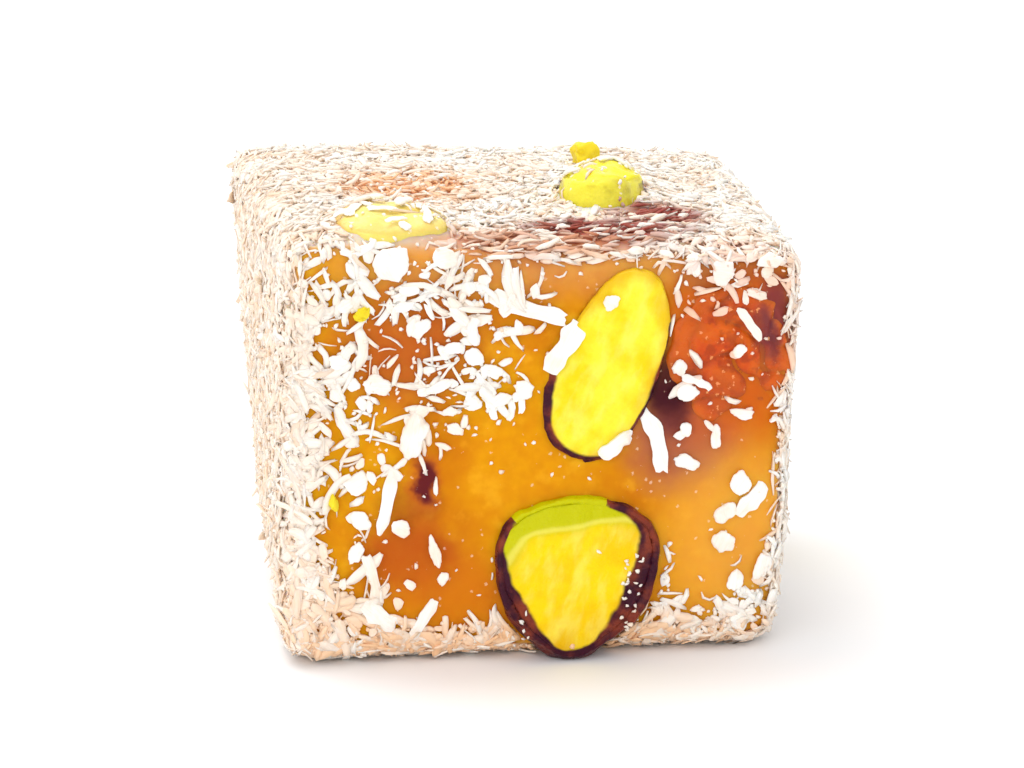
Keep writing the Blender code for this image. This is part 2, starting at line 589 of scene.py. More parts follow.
class Grain(Effect):
    """Fine relief of two sizes, as a height from 0 to 1."""

    name = "grain"
    inputs = {
        "Place": ("Vector", None),
        "Wave": ("Float", 0.5),
        "Pits": ("Float", 0.3),
    }
    output = ("Height", "Float")

    def lay_out(self, sheet: Sheet, given: bpy.types.NodeOutputs) -> Socket:
        """Adds small pits to a fine noise.

        Args:
            sheet: the group's nodes.
            given: the group's inputs.

        Returns:
            The result.
        """
        scale = sheet.math("DIVIDE", 1.0, given["Wave"])
        ripple = sheet.add("TexNoise", Vector=given["Place"], Scale=scale, Detail=4.0).outputs["Fac"]
        cells = sheet.add("TexVoronoi", Vector=given["Place"], Scale=scale).outputs["Distance"]
        pit = sheet.step(cells, 0.0, 0.45)
        lowered = sheet.math("MULTIPLY", sheet.math("SUBTRACT", pit, 1.0), given["Pits"])
        return sheet.math("ADD", ripple, lowered)


class Dusting(Effect):
    """Fine pale specks, as left by loose starch and coconut dust."""

    name = "dusting"
    inputs = {
        "Place": ("Vector", None),
        "Wave": ("Float", 0.35),
        "Amount": ("Float", 0.5),
    }
    output = ("Mask", "Float")

    def lay_out(self, sheet: Sheet, given: bpy.types.NodeOutputs) -> Socket:
        """Shows the middles of small cells, more of them as the amount rises and where a noise is high.

        Args:
            sheet: the group's nodes.
            given: the group's inputs.

        Returns:
            The result.
        """
        scale = sheet.math("DIVIDE", 1.0, given["Wave"])
        cells = sheet.add("TexVoronoi", Vector=given["Place"], Scale=scale)
        drift = sheet.add("TexNoise", Vector=given["Place"], Scale=0.4, Detail=4.0).outputs["Fac"]
        wanted = sheet.math("MULTIPLY", given["Amount"], sheet.step(drift, 0.3, 0.7))
        chance = sheet.add("SeparateColor", Color=cells.outputs["Color"]).outputs["Red"]
        picked = sheet.math("LESS_THAN", chance, wanted)
        finer = sheet.math("MULTIPLY", scale, 2.5)
        rough = sheet.add("TexNoise", Vector=given["Place"], Scale=finer, Detail=2.0).outputs["Fac"]
        reach = sheet.math("ADD", cells.outputs["Distance"], sheet.math("SUBTRACT", rough, 0.5))
        return sheet.math("MULTIPLY", picked, sheet.step(reach, 0.4, 0.2))


MOTTLE = Mottle()
STAIN = Stain()
GRAIN = Grain()
DUSTING = Dusting()


# ---------------- Finishes ----------------


@dataclass(frozen=True)
class Finish(ABC):
    """The look of one kind of surface."""

    name: str

    def material(self) -> bpy.types.Material:
        """Finds the material, which the first call builds.

        Returns:
            The material.
        """
        known = bpy.data.materials.get(self.name)
        if known is not None:
            return known
        material = bpy.data.materials.new(self.name)
        material.use_nodes = True
        sheet = Sheet(material.node_tree)
        shader = self.lay_out(sheet)
        sheet.add("OutputMaterial", Surface=shader.outputs["BSDF"])
        return material

    @abstractmethod
    def lay_out(self, sheet: Sheet) -> Node:
        """Lays out the material's nodes.

        Args:
            sheet: the material's nodes.

        Returns:
            The Principled shader.
        """


@dataclass(frozen=True)
class Blot:
    """A soft patch of colour, such as fruit that shows through the jelly, a stain on the coat, and painted
    shade between flakes: where it is, its half sizes, and how it looks.
    """

    mark: Mark
    size: tuple[float, float, float]
    tone: Colour
    strength: float = 1.0
    blur: float = 0.4
    waver: float = 1.6


@dataclass(frozen=True)
class JellyFinish(Finish):
    """Amber starch jelly: satin, cloudy and a little see-through, and duller where coconut covers it."""

    name: str = "amber_jelly"
    amber: Colour = srgb(225, 154, 1)
    deep: Colour = srgb(204, 120, 1)
    pale: Colour = srgb(240, 176, 30)
    coated: Colour = srgb(251, 231, 210)
    coated_light: Colour = srgb(254, 246, 236)
    dust: Colour = srgb(250, 226, 196)
    blots: tuple[Blot, ...] = ()
    glow: tuple[float, float, float] = (1.0, 0.42, 0.12)
    glow_reach: float = 2.2

    def lay_out(self, sheet: Sheet) -> Node:
        """Lays amber clouds, blots of buried fruit and of painted shade between flakes, the duller coated
        sides and a little dust.

        Args:
            sheet: the material's nodes.

        Returns:
            The Principled shader.
        """
        place = sheet.millimetres()
        clouds = sheet.mottle(place, 6.5, 4.0, 0.38, 0.66)
        tone = sheet.blend(clouds, self.amber, self.deep)
        fine = sheet.mottle(place, 0.9, 5.0, 0.3, 0.75)
        tone = sheet.over(tone, self.deep, fine, 0.35)
        veins = sheet.mottle(place, 1.7, 6.0, 0.52, 0.72)
        tone = sheet.over(tone, self.pale, veins, 0.5)
        uneven = sheet.mottle(place, 1.1, 5.0, 0.35, 0.68)
        coating = sheet.blend(uneven, self.coated, self.coated_light)
        tone = sheet.over(tone, coating, sheet.read("coated"), 0.9)
        tone = sheet.stain_and_shade(tone, place, self.blots)
        specks = sheet.effect(DUSTING, Place=place, Wave=0.32, Amount=0.1)
        tone = sheet.over(tone, self.dust, specks, 0.45)
        relief = sheet.effect(GRAIN, Place=place, Wave=0.55, Pits=0.35)
        normal = sheet.bump(relief, 0.35, 0.08)
        rough = sheet.step(fine, 0.0, 1.0, 0.34, 0.5)
        return sheet.add(
            "BsdfPrincipled",
            Base_Color=tone,
            Roughness=sheet.math("ADD", rough, sheet.math("MULTIPLY", specks, 0.3)),
            Normal=normal,
            Subsurface_Weight=0.55,
            Subsurface_Radius=self.glow,
            Subsurface_Scale=self.glow_reach * MM,
            IOR=1.42,
            Specular_IOR_Level=0.1,
        )


@dataclass(frozen=True)
class KernelFinish(Finish):
    """A pistachio kernel: yellow where it is cut, green on its own outside, in a thin purple-brown skin."""

    heart: Colour = srgb(247, 234, 56)
    flesh: Colour = srgb(240, 214, 10)
    rim: Colour = srgb(226, 178, 28)
    outside: Colour = srgb(196, 194, 1)
    # edge is the pale colour of the painted highlights.
    edge: Colour = srgb(248, 240, 120)
    skin: Colour = srgb(134, 58, 40)
    skin_shade: Colour = srgb(62, 18, 36)
    dust: Colour = srgb(255, 246, 226)
    dusted: float = 0.0

    def lay_out(self, sheet: Sheet) -> Node:
        """Colours the cut face in streaky tones from its middle out with painted highlights, then the green
        outside with a painted highlight on its ridge, the skin and dust.

        Args:
            sheet: the material's nodes.

        Returns:
            The Principled shader.
        """
        place = sheet.millimetres()
        clouds = sheet.mottle(place, 2.6, 3.0, 0.36, 0.62)
        fine = sheet.mottle(place, 0.4, 4.0, 0.3, 0.7)
        axes = sheet.read("axes", "Vector")
        drawn_out = sheet.add("Mapping", Vector=axes, Scale=(0.35, 0.9, 1.0)).outputs[0]
        streak_relief_and_highlight = sheet.mottle(drawn_out, 1.0, 4.0, 0.42, 0.66)
        tone = sheet.blend(clouds, self.flesh, self.heart)
        # Pale streaky marks over the cut face are painted highlights; the same mask also gives the relief.
        tone = sheet.over(tone, self.edge, streak_relief_and_highlight, 0.4)
        wavered = sheet.math("ADD", sheet.read("rim"), sheet.math("MULTIPLY", clouds, 0.5))
        tone = sheet.blend(sheet.step(wavered, 1.5, 0.1, 0.0, 0.85), tone, self.rim)
        tone = sheet.over(tone, self.rim, fine, 0.12)
        green = sheet.read("green")
        tone = sheet.blend(sheet.step(green, 0.1, 0.95), tone, self.outside)
        # A pale line where the green meets the yellow is a painted highlight on the ridge.
        ridge_highlight = sheet.math("MULTIPLY", sheet.step(green, 0.5, 0.66), sheet.step(green, 0.84, 0.7))
        tone = sheet.over(tone, self.edge, ridge_highlight, 0.4)
        shade = sheet.mottle(place, 1.8, 5.0, 0.36, 0.58)
        skin = sheet.blend(shade, self.skin, self.skin_shade)
        frayed = sheet.mottle(place, 1.6, 3.0, 0.3, 0.7)
        torn = sheet.math("SUBTRACT", sheet.read("skin"), sheet.math("MULTIPLY", frayed, 0.25))
        tone = sheet.blend(sheet.step(torn, 0.12, 0.5), tone, skin)
        specks = sheet.effect(DUSTING, Place=place, Wave=0.5, Amount=self.dusted)
        tone = sheet.over(tone, self.dust, specks, 0.8)
        relief = sheet.effect(GRAIN, Place=place, Wave=0.35, Pits=0.25)
        height = sheet.math("ADD", relief, sheet.math("MULTIPLY", streak_relief_and_highlight, 0.6))
        normal = sheet.bump(height, 0.6, 0.12)
        return sheet.add(
            "BsdfPrincipled",
            Base_Color=tone,
            Roughness=sheet.step(fine, 0.0, 1.0, 0.26, 0.42),
            Normal=normal,
            Subsurface_Weight=0.3,
            Subsurface_Radius=(1.0, 0.8, 0.25),
            Subsurface_Scale=0.6 * MM,
            Specular_IOR_Level=0.12,
        )


@dataclass(frozen=True)
class CherryFinish(Finish):
    """Candied cherry: glossy and see-through, bright where it is thin and nearly black where it is thick."""

    name: str = "candied_cherry"
    bright: Colour = srgb(214, 98, 16)
    middle: Colour = srgb(204, 76, 14)
    dark: Colour = srgb(96, 26, 24)
    dark_from: float = 0.58
    # folds is how strongly painted shade darkens the creases.
    folds: float = 0.25
    sugar: Colour = srgb(246, 170, 110)
    jelly: Colour = srgb(208, 98, 24)
    fade: float = 0.8
    blots: tuple[Blot, ...] = ()

    def lay_out(self, sheet: Sheet) -> Node:
        """Mixes the three tones by clouds, painted shade in the folds, and blots.

        Args:
            sheet: the material's nodes.

        Returns:
            The Principled shader.
        """
        place = sheet.millimetres()
        clouds = sheet.mottle(place, 2.2, 5.0, 0.4, 0.62)
        tone = sheet.blend(clouds, self.bright, self.middle)
        grainy = sheet.mottle(place, 0.8, 5.0, 0.46, 0.62)
        tone = sheet.over(tone, self.dark, grainy, 0.35)
        low, high = self.dark_from, self.dark_from + 0.14
        thick = sheet.mottle(place, 3.4, 4.0, low, high)
        tone = sheet.over(tone, self.dark, thick, 0.8)
        # The creases darken towards the dark tone: painted shade in the folds.
        crease_shade_mask = sheet.math("MULTIPLY", sheet.read("fold"), self.folds)
        tone = sheet.blend(crease_shade_mask, tone, self.dark)
        tone = sheet.stain_and_shade(tone, place, self.blots)
        inward = sheet.math("SUBTRACT", sheet.read("rim"), sheet.math("MULTIPLY", clouds, 0.6))
        tone = sheet.blend(sheet.step(inward, self.fade, -0.2, 0.0, 0.85), tone, self.jelly)
        specks = sheet.effect(DUSTING, Place=place, Wave=0.4, Amount=0.45)
        tone = sheet.over(tone, self.sugar, specks, 0.7)
        relief = sheet.effect(GRAIN, Place=place, Wave=0.5, Pits=0.4)
        normal = sheet.bump(relief, 0.6, 0.12)
        return sheet.add(
            "BsdfPrincipled",
            Base_Color=tone,
            Roughness=sheet.step(clouds, 0.0, 1.0, 0.2, 0.34),
            Normal=normal,
            Subsurface_Weight=0.5,
            Subsurface_Radius=(1.0, 0.3, 0.1),
            Subsurface_Scale=1.2 * MM,
            Specular_IOR_Level=0.18,
        )


@dataclass(frozen=True)
class CoconutFinish(Finish):
    """Dried coconut: white, a little see-through, fibrous, with syrup stains, and warm painted shade deep in
    the coat.
    """

    name: str = "dried_coconut"
    white: Colour = srgb(249, 247, 241)
    cream: Colour = srgb(250, 242, 231)
    # The warm stain colour is both syrup stain and painted warm shade on the deep bits.
    stain_and_shade: Colour = srgb(245, 211, 180)
    toasted: Colour = srgb(230, 184, 144)
    blots: tuple[Blot, ...] = ()

    def lay_out(self, sheet: Sheet) -> Node:
        """Gives each bit its own tint, warmer low in the coat by painted shade, with fibres along it.

        Args:
            sheet: the material's nodes.

        Returns:
            The Principled shader.
        """
        place = sheet.millimetres()
        fibre = sheet.read("fibre", "Vector")
        strands = sheet.add("Mapping", Vector=fibre, Scale=(0.5, 6.0, 6.0))
        lines = sheet.add("TexNoise", Vector=strands.outputs[0], Scale=1.4, Detail=3.0).outputs["Fac"]
        tint = sheet.read("tint")
        level = sheet.read("level")
        tone = sheet.blend(sheet.step(tint, 0.3, 0.9), self.white, self.cream)
        # Bits low in the coat take the warm stain colour: painted warm shade among the deep bits, and the
        # syrup stain of soaked drifts.
        tone = sheet.blend(sheet.step(level, 0.55, 0.0, 0.0, 0.8), tone, self.stain_and_shade)
        tone = sheet.blend(sheet.step(tint, 0.96, 1.0, 0.0, 0.5), tone, self.toasted)
        soaked = sheet.mottle(place, 3.2, 5.0, 0.42, 0.68)
        tone = sheet.over(tone, self.stain_and_shade, soaked, 0.4)
        sodden = sheet.stain_and_shade(tone, place, self.blots)
        dryness = sheet.math("ADD", tint, sheet.math("MULTIPLY", level, 0.4))
        tone = sheet.blend(sheet.step(dryness, 1.1, 0.5), tone, sodden)
        tone = sheet.blend(sheet.step(lines, 0.35, 0.62, 0.14, 0.0), tone, self.toasted)
        grain = sheet.effect(GRAIN, Place=place, Wave=0.25, Pits=0.2)
        relief = sheet.math("ADD", sheet.math("MULTIPLY", grain, 0.4), lines)
        normal = sheet.bump(relief, 0.5, 0.05)
        return sheet.add(
            "BsdfPrincipled",
            Base_Color=tone,
            Roughness=sheet.step(lines, 0.3, 0.7, 0.5, 0.68),
            Normal=normal,
            Subsurface_Weight=0.18,
            Subsurface_Radius=(1.0, 0.75, 0.5),
            Subsurface_Scale=0.35 * MM,
            Specular_IOR_Level=0.25,
        )


@dataclass(frozen=True)
class FloorFinish(Finish):
    """A plain pale floor."""

    name: str = "pale_floor"
    tone: Colour = (0.92, 0.92, 0.93, 1.0)

    def lay_out(self, sheet: Sheet) -> Node:
        """Makes it one matt colour, and returns its Principled shader."""
        return sheet.add("BsdfPrincipled", Base_Color=self.tone, Roughness=0.6, Specular_IOR_Level=0.2)


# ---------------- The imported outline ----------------


class Outline:
    """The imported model's outline, in millimetres: the block without its sockets, and the nuts and fruit."""

    def __init__(self, node: str = "jelly") -> None:
        """Reads the frame.

        Args:
            node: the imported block.
        """
        low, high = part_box(node)
        self.middle = (low / MM + high / MM) / 2
        self.half = (high / MM - low / MM) / 2
        block = packed_mesh(node)
        wrap = bmesh.ops.convex_hull(block, input=block.verts)
        spare = wrap["geom_interior"] + wrap["geom_unused"]
        inside = {item for item in spare if isinstance(item, bmesh.types.BMVert)}
        bmesh.ops.delete(block, geom=list(inside), context="VERTS")
        self.hull = BVHTree.FromBMesh(block)
        block.free()
        copies = [to_mesh(packed_mesh(other), other + "_copy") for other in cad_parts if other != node]
        self.sunk = tree_of(copies, 1.0)
        for copy in copies:
            bpy.data.meshes.remove(copy)

    def place(self, side: Side, across: float, up: float) -> Vector:
        """Finds a point on the outline's box.

        Args:
            side: which side it is on.
            across: how far it is to the side's right of its middle.
            up: how far it is above its middle.

        Returns:
            The point, in the frame's directions.
        """
        away = Vector(side.outward[axis] * self.half[axis] for axis in range(3))
        return self.middle + away + side.across * across + side.up * up


OUTLINE = Outline()


# ---------------- Pieces ----------------


@dataclass
class Piece(ABC):
    """One visible piece of the sweet."""

    name: str
    slot: Slot
    finish: Finish
    stands_for: tuple[str, ...] = ()

    @abstractmethod
    def build(self) -> Mesh:
        """Shapes the piece.

        Returns:
            The mesh, in millimetres.
        """

    def dress(self, mesh: Mesh) -> None:
        """Gives the mesh its finish and smooth shading.

        Args:
            mesh: the mesh.
        """
        mesh.materials.clear()
        mesh.materials.append(self.finish.material())
        mesh.shade_smooth()

    def make(self) -> Object:
        """Builds, dresses and places the piece, and hands it to the frame.

        Returns:
            The finished object.
        """
        mesh = self.build()
        self.dress(mesh)
        mesh.transform(Matrix.Scale(MM, 4))
        mesh.name = self.name
        piece = add_object(self.name, mesh)
        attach(piece, BODY)
        if self.stands_for:
            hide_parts(*self.stands_for)
        triangles = sum(len(face.vertices) - 2 for face in mesh.polygons)
        LOG.info("%s: %d triangles", self.name, triangles)
        return piece


@dataclass
class JellyBlock(Piece):
    """The block of jelly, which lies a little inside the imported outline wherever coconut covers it.

    cuts is how finely it is meshed, and crowding how much of that goes to the edges. rounding is the
    radius that the edges are wrapped from. coat_room and base_room are how far it lies inside the outline
    under the coat and at the base. waves are wave lengths and heights. A lip rises round each nut, and
    the jelly falls away inside.
    """

    cuts: int = 100
    crowding: float = 0.35
    rounding: float = 5.0
    passes: int = 10
    coat_room: float = 0.45
    base_room: float = 0.3
    waves: tuple[tuple[float, float], ...] = ((7.0, 0.16), (2.2, 0.07), (0.9, 0.03))
    lip_height: float = 0.1
    lip_reach: float = 0.8
    socket_slope: float = 1.1
    wave_start: float = 7.3  # how far apart two waves read the noise
    bare_turn: tuple[float, float] = (0.55, 0.92)  # how squarely the surface faces front where the coat ends
    base_turn: tuple[float, float] = (0.6, 0.95)  # how squarely it faces down where the base starts

    def build(self) -> Mesh:
        """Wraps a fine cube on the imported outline, then works its surface.

        Returns:
            The mesh, in millimetres.
        """
        shape = bmesh.new()
        bmesh.ops.create_cube(shape, size=2.0)
        bmesh.ops.subdivide_edges(shape, edges=shape.edges, cuts=self.cuts, use_grid_fill=True)
        for vertex in shape.verts:
            vertex.co = self.wrapped(vertex.co)
        relax(shape, self.passes)
        bmesh.ops.recalc_face_normals(shape, faces=shape.faces)
        mesh = to_mesh(shape, self.name)
        self.work(mesh)
        return mesh

    def wrapped(self, place: Vector) -> Vector:
        """Finds where a corner of the fine cube lands on the outline.

        Args:
            place: the corner, on a cube from -1 to 1.

        Returns:
            The landing place.
        """
        crowded = Vector(
            (1 - self.crowding) * part + self.crowding * math.sin(part * math.pi / 2) for part in place
        )
        point = Vector(crowded[axis] * OUTLINE.half[axis] for axis in range(3))
        inner = Vector(
            max(self.rounding - OUTLINE.half[axis], min(OUTLINE.half[axis] - self.rounding, point[axis]))
            for axis in range(3)
        )
        outward = (point - inner).normalized()
        start = OUTLINE.middle + inner + outward * self.rounding * 3
        found = OUTLINE.hull.ray_cast(start, -outward)[0]
        return found if found is not None else OUTLINE.middle + point

    def work(self, mesh: Mesh) -> None:
        """Makes room for the coat, and gives the surface its waves, lips round the nuts and paint.

        Args:
            mesh: the wrapped block.
        """
        places = rows_of(mesh, "co")
        normals = rows_of(mesh, "normal")
        bare = eased(*self.bare_turn, normals @ np.array(Side.FRONT.outward))
        base = eased(*self.base_turn, normals @ np.array(Side.BASE.outward))
        coated = 1 - bare
        shift = -self.coat_room * coated * (1 - base) - self.base_room * base
        for number, (wave, height) in enumerate(self.waves):
            shift += height * noise_on(places, wave, number * self.wave_start) * (1 - base)
        distances = np.array([clearance(OUTLINE.sunk, Vector(row)) for row in places])
        lip = self.lip_height + self.coat_room * coated
        shift += lip * np.exp(-np.maximum(distances, 0) / self.lip_reach)
        shift += self.socket_slope * np.maximum(np.minimum(distances, 0), -1.0)
        move_to(mesh, places + normals * shift[:, None])
        paint(mesh, "coated", coated)


@dataclass
class Sunk(Piece):
    """A nut or fruit that the knife cut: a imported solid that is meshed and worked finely."""

    voxel: float = 0.13
    swell: float = 0.08
    passes: int = 9
    rise: float = 0.0
    face_depth: float = 0.25  # down to where a vertex counts as on the cut face
    rim_depth: float = 0.6  # down to where it counts as on the face's outline
    rim_passes: int = 8

    def build(self) -> Mesh:
        """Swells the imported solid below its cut, meshes it finely, works its surface and raises it.

        Returns:
            The mesh, in millimetres.
        """
        shape = packed_mesh(self.stands_for[0])
        point, outward = self.cut_of(shape)
        moved = {vertex: vertex.co + vertex.normal * self.swell for vertex in shape.verts}
        for vertex, place in moved.items():
            above = (place - point).dot(outward)
            vertex.co = place - outward * max(0.0, above)
        fine = remeshed(to_mesh(shape, self.name), self.voxel)
        shape = bmesh.new()
        shape.from_mesh(fine)
        relax(shape, self.passes)
        shape.to_mesh(fine)
        shape.free()
        self.work(fine, np.array(point), np.array(outward))
        places = rows_of(fine, "co") + np.array(outward) * self.rise
        places[:, 2] = np.maximum(places[:, 2], FLOOR_GAP)
        move_to(fine, places)
        return fine

    @staticmethod
    def cut_of(shape: Shape) -> tuple[Vector, Vector]:
        """Finds the flat face where the knife passed, which is the largest flat of the solid.

        Args:
            shape: the solid.

        Returns:
            A point on the flat and its outward direction.
        """
        flats: dict[tuple, list] = {}
        for face in shape.faces:
            key = tuple(round(part, 2) for part in face.normal)
            flats.setdefault(key, []).append(face)
        widest = max(flats.values(), key=lambda faces: sum(face.calc_area() for face in faces))
        biggest = max(widest, key=lambda face: face.calc_area())
        return biggest.calc_center_median(), biggest.normal.copy()

    def from_outline(self, mesh: Mesh, places: np.ndarray, depth: np.ndarray) -> np.ndarray:
        """Measures how far each vertex of the cut face lies from the face's outline.

        Args:
            mesh: the mesh.
            places: its vertices.
            depth: how far each lies below the cut.

        Returns:
            The distances, 0 down the sides.
        """
        outline = np.flatnonzero((depth > self.face_depth) & (depth < self.rim_depth))
        tree = kdtree.KDTree(len(outline))
        for index in outline:
            tree.insert(Vector(places[index]), int(index))
        tree.balance()
        distances = np.zeros(len(places))
        for index in np.flatnonzero(depth <= self.face_depth):
            distances[index] = tree.find(Vector(places[index]))[2]
        return smoothed(mesh, distances, self.rim_passes)

    @abstractmethod
    def work(self, mesh: Mesh, point: np.ndarray, outward: np.ndarray) -> None:
        """Works the surface finely and paints it.

        Args:
            mesh: the finely meshed solid.
            point, outward: a point of the cut, and where the cut faces.
        """


class Outside(Enum):
    """What shows where a kernel's own outside turns into view."""

    SKIN = "skin"
    GREEN = "green"


@dataclass(frozen=True)
class Shoulder:
    """Where a kernel's outside shows beside its cut.

    towards is the side it is on. width is how much of the cut it takes, and flare how far it bulges past
    the cut. spread is how fast it narrows away from that side.
    """

    outside: Outside
    towards: tuple[float, float, float]
    width: float
    flare: float = 0.0
    spread: float = 2.0


@dataclass
class Kernel(Sunk):
    """A pistachio kernel.

    dome is how far its cut face bulges, ripple how rough that is, and groove how deep its seam is.
    wrinkle is the relief of its skin, and unevenness that of its outline. fall and green_fall are how
    steeply the shoulders turn down. green_depth is how far green reaches down its side, skin_depth where
    the skin starts, and peeled the way that a part without skin looks.
    """

    shoulders: tuple[Shoulder, ...] = ()
    dome: float = 0.25
    dome_reach: float = 2.4
    ripple: float = 0.1
    ripple_waves: tuple[float, float] = (1.5, 3.4)
    groove: float = 0.12
    groove_width: float = 0.3
    groove_waver: float = 0.5
    groove_fade: tuple[float, float] = (0.95, 0.5)
    wrinkle: float = 0.12
    wrinkle_wave: float = 0.9
    unevenness: float = 0.3
    unevenness_wave: float = 4.2
    flare_reach: float = 1.4
    fall: float = 0.7
    green_fall: float = 0.2
    green_depth: float = 0.8
    skin_depth: float = 0.28
    peeled: tuple[float, float, float] = (0.0, 0.0, 0.0)

    def work(self, mesh: Mesh, point: np.ndarray, outward: np.ndarray) -> None:
        """Domes and ripples the cut face, turns its shoulders down, marks its seam and wrinkles its skin.

        Args:
            mesh: the finely meshed solid.
            point, outward: a point of the cut, and where the cut faces.
        """
        places = rows_of(mesh, "co")
        normals = rows_of(mesh, "normal")
        depth = -(places - point) @ outward
        on_face = eased(0.3, 0.12, depth)
        rim = self.from_outline(mesh, places, depth)
        flat = (places - places[depth < 0.2].mean(0)) @ (np.eye(3) - np.outer(outward, outward))
        spread = np.linalg.eigh(np.cov(flat[depth < 0.2].T))[1]
        along, aside = flat @ spread[:, 2], flat @ spread[:, 1]
        seam = np.exp(-((aside - self.groove_waver * noise_on(flat, 6.0)) / self.groove_width) ** 2)
        seam = seam * eased(*self.groove_fade, np.abs(along) / np.abs(along).max())
        fine, broad = self.ripple_waves
        shift = on_face * (
            self.dome * eased(0.0, self.dome_reach, rim)
            + self.ripple * noise_on(places, fine)
            + 1.5 * self.ripple * noise_on(places, broad, 5.0)
            - self.groove * seam
        )
        shift += (1 - on_face) * self.wrinkle * noise_on(places, self.wrinkle_wave)
        shows = {outside: np.zeros(len(places)) for outside in Outside}
        flare = np.zeros(len(places))
        for shoulder in self.shoulders:
            facing = np.clip(unit(flat) @ unit(np.array(shoulder.towards)), 0, 1) ** shoulder.spread
            width = shoulder.width * facing * (1 + 0.15 * noise_on(places, 1.8, 9.0))
            drop = self.fall if shoulder.outside is Outside.SKIN else self.green_fall
            shift -= on_face * drop * eased(-0.4, 0.6, width - rim) * np.maximum(0.1, width - rim)
            blur = 0.35 if shoulder.outside is Outside.SKIN else 1.1
            inside = eased(-blur, blur, width - rim) * (width > 0.08)
            shows[shoulder.outside] = np.maximum(shows[shoulder.outside], inside)
            flare = np.maximum(flare, shoulder.flare * facing)
        flare *= 1 - eased(0.0, self.flare_reach, rim)
        outline = self.unevenness * noise_on(flat, self.unevenness_wave, 2.0)
        flat_normals = normals @ (np.eye(3) - np.outer(outward, outward))
        sideways = flat_normals * outline[:, None] + unit(flat) * flare[:, None]
        move_to(mesh, places + normals * shift[:, None] + sideways)
        green_wall = shows[Outside.GREEN] * eased(self.green_depth + 0.6, self.green_depth, depth)
        peel = eased(0.15, 0.55, unit(flat) @ np.array(self.peeled))
        below = eased(self.skin_depth, self.skin_depth + 0.25, depth) * (1 - green_wall) * (1 - peel)
        paint(mesh, "rim", rim)
        paint(mesh, "axes", np.stack([along, aside, depth], 1))
        paint(mesh, "skin", np.maximum(shows[Outside.SKIN], below))
        paint(mesh, "green", shows[Outside.GREEN])


@dataclass
class Cherry(Sunk):
    """A piece of candied cherry.

    It spreads towards one side by its reach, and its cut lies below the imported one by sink. ragged is how
    uneven its outline is, and fold how deep its creases are. Each dent is a height, a wave length and a
    start.
    """

    voxel: float = 0.16
    towards: tuple[float, float, float] = (0.0, 0.0, 0.0)
    reach: float = 0.0
    sink: float = 0.15
    ragged: float = 1.1
    ragged_wave: float = 2.4
    fold: float = 0.3
    fold_wave: float = 2.6
    fold_narrowness: float = 2.4
    dents: tuple[tuple[float, float, float], ...] = ((0.2, 1.5, 3.0), (0.08, 0.7, 6.0))

    def work(self, mesh: Mesh, point: np.ndarray, outward: np.ndarray) -> None:
        """Makes the outline ragged, spreads the fruit to one side, and creases it in soft folds.

        Args:
            mesh: the finely meshed solid.
            point, outward: a point of the cut, and where the cut faces.
        """
        places = rows_of(mesh, "co")
        normals = rows_of(mesh, "normal")
        depth = -(places - point) @ outward
        rim = self.from_outline(mesh, places, depth)
        crease = np.clip(1 - np.abs(noise_on(places, self.fold_wave)) * self.fold_narrowness, 0, 1) ** 3
        shift = -self.fold * crease
        for height, wave, start in self.dents:
            shift = shift + height * noise_on(places, wave, start)
        flat_normals = normals @ (np.eye(3) - np.outer(outward, outward))
        outline = self.ragged * noise_on(places, self.ragged_wave, 4.0)
        facing = np.clip(flat_normals @ np.array(self.towards), 0, 1)
        moved = places + normals * shift[:, None] + flat_normals * (outline + self.reach * facing)[:, None]
        move_to(mesh, moved - self.sink * outward)
        paint(mesh, "fold", crease)
        paint(mesh, "rim", rim)


# ---------------- Coconut ----------------


@dataclass(frozen=True)
class Bed:
    """A patch of a side where coconut lies thicker than round it, or thinner where cover is below 0.

    Its bits lie every way, or roughly at the angle combed.
    """

    mark: Mark
    wide: float
    high: float
    cover: float
    combed: float | None = None

    def away(self, side: Side, across: np.ndarray | float, up: np.ndarray | float) -> np.ndarray | float:
        """Tells how far out places on a side lie, as a share of its reach.

        Args:
            side: the side.
            across, up: the places, from the side's middle.

        Returns:
            0 at its middle, 1 at its rim, and very far on another side.
        """
        if self.mark.side is not side:
            return np.full_like(across, np.inf)
        middle = self.mark.on_side()
        return np.hypot((across - middle[0]) / self.wide, (up - middle[1]) / self.high)


@dataclass
class Bit:
    """One bit of coconut: where it lies, its sizes, and how it turns over its length.

    angle turns it from the side's right towards its top. bend turns it in its own plane, curl out of it,
    and twist about its length. lift is its height over the jelly, and slope how much higher one end lies,
    as a share of its length. level tells how high in the coat it counts, from 0 to 1 or PROUD of it.
    nut_room and fruit_room are how near a nut and how near the fruit it may lie.
    """

    across: float
    up: float
    length: float
    width: float
    thickness: float
    angle: float
    bend: float
    curl: float
    twist: float
    lift: float
    slope: float
    level: float
    nut_room: float
    fruit_room: float
    side: Side


@dataclass(frozen=True)
class Drift:
    """A patch where so many bits of one kind lie scattered, clear of each other.

    on_nut lets them lie on a nut too, and soaked ones have taken up what stains the coat there. scale is
    how much larger they are than the rest of their kind.
    """

    mark: Mark
    wide: float
    high: float
    count: int
    on_nut: bool = False
    soaked: bool = False
    scale: float = 1.0


@dataclass
class Spots:
    """How many bits rest on the block, as one column for each property."""

    middle: list[Vector] = field(default_factory=list)
    along: list[Vector] = field(default_factory=list)
    outward: list[Vector] = field(default_factory=list)
    length: list[float] = field(default_factory=list)
    width: list[float] = field(default_factory=list)
    thickness: list[float] = field(default_factory=list)
    curl: list[float] = field(default_factory=list)
    bend: list[float] = field(default_factory=list)
    twist: list[float] = field(default_factory=list)
    level: list[float] = field(default_factory=list)

    def add(self, **properties: object) -> None:
        """Adds one bit."""
        for name, value in properties.items():
            getattr(self, name).append(value)

    def columns(self) -> dict[str, np.ndarray]:
        """Returns each property of every bit as an array."""
        return {name: np.array(getattr(self, name), float) for name in self.__dataclass_fields__}


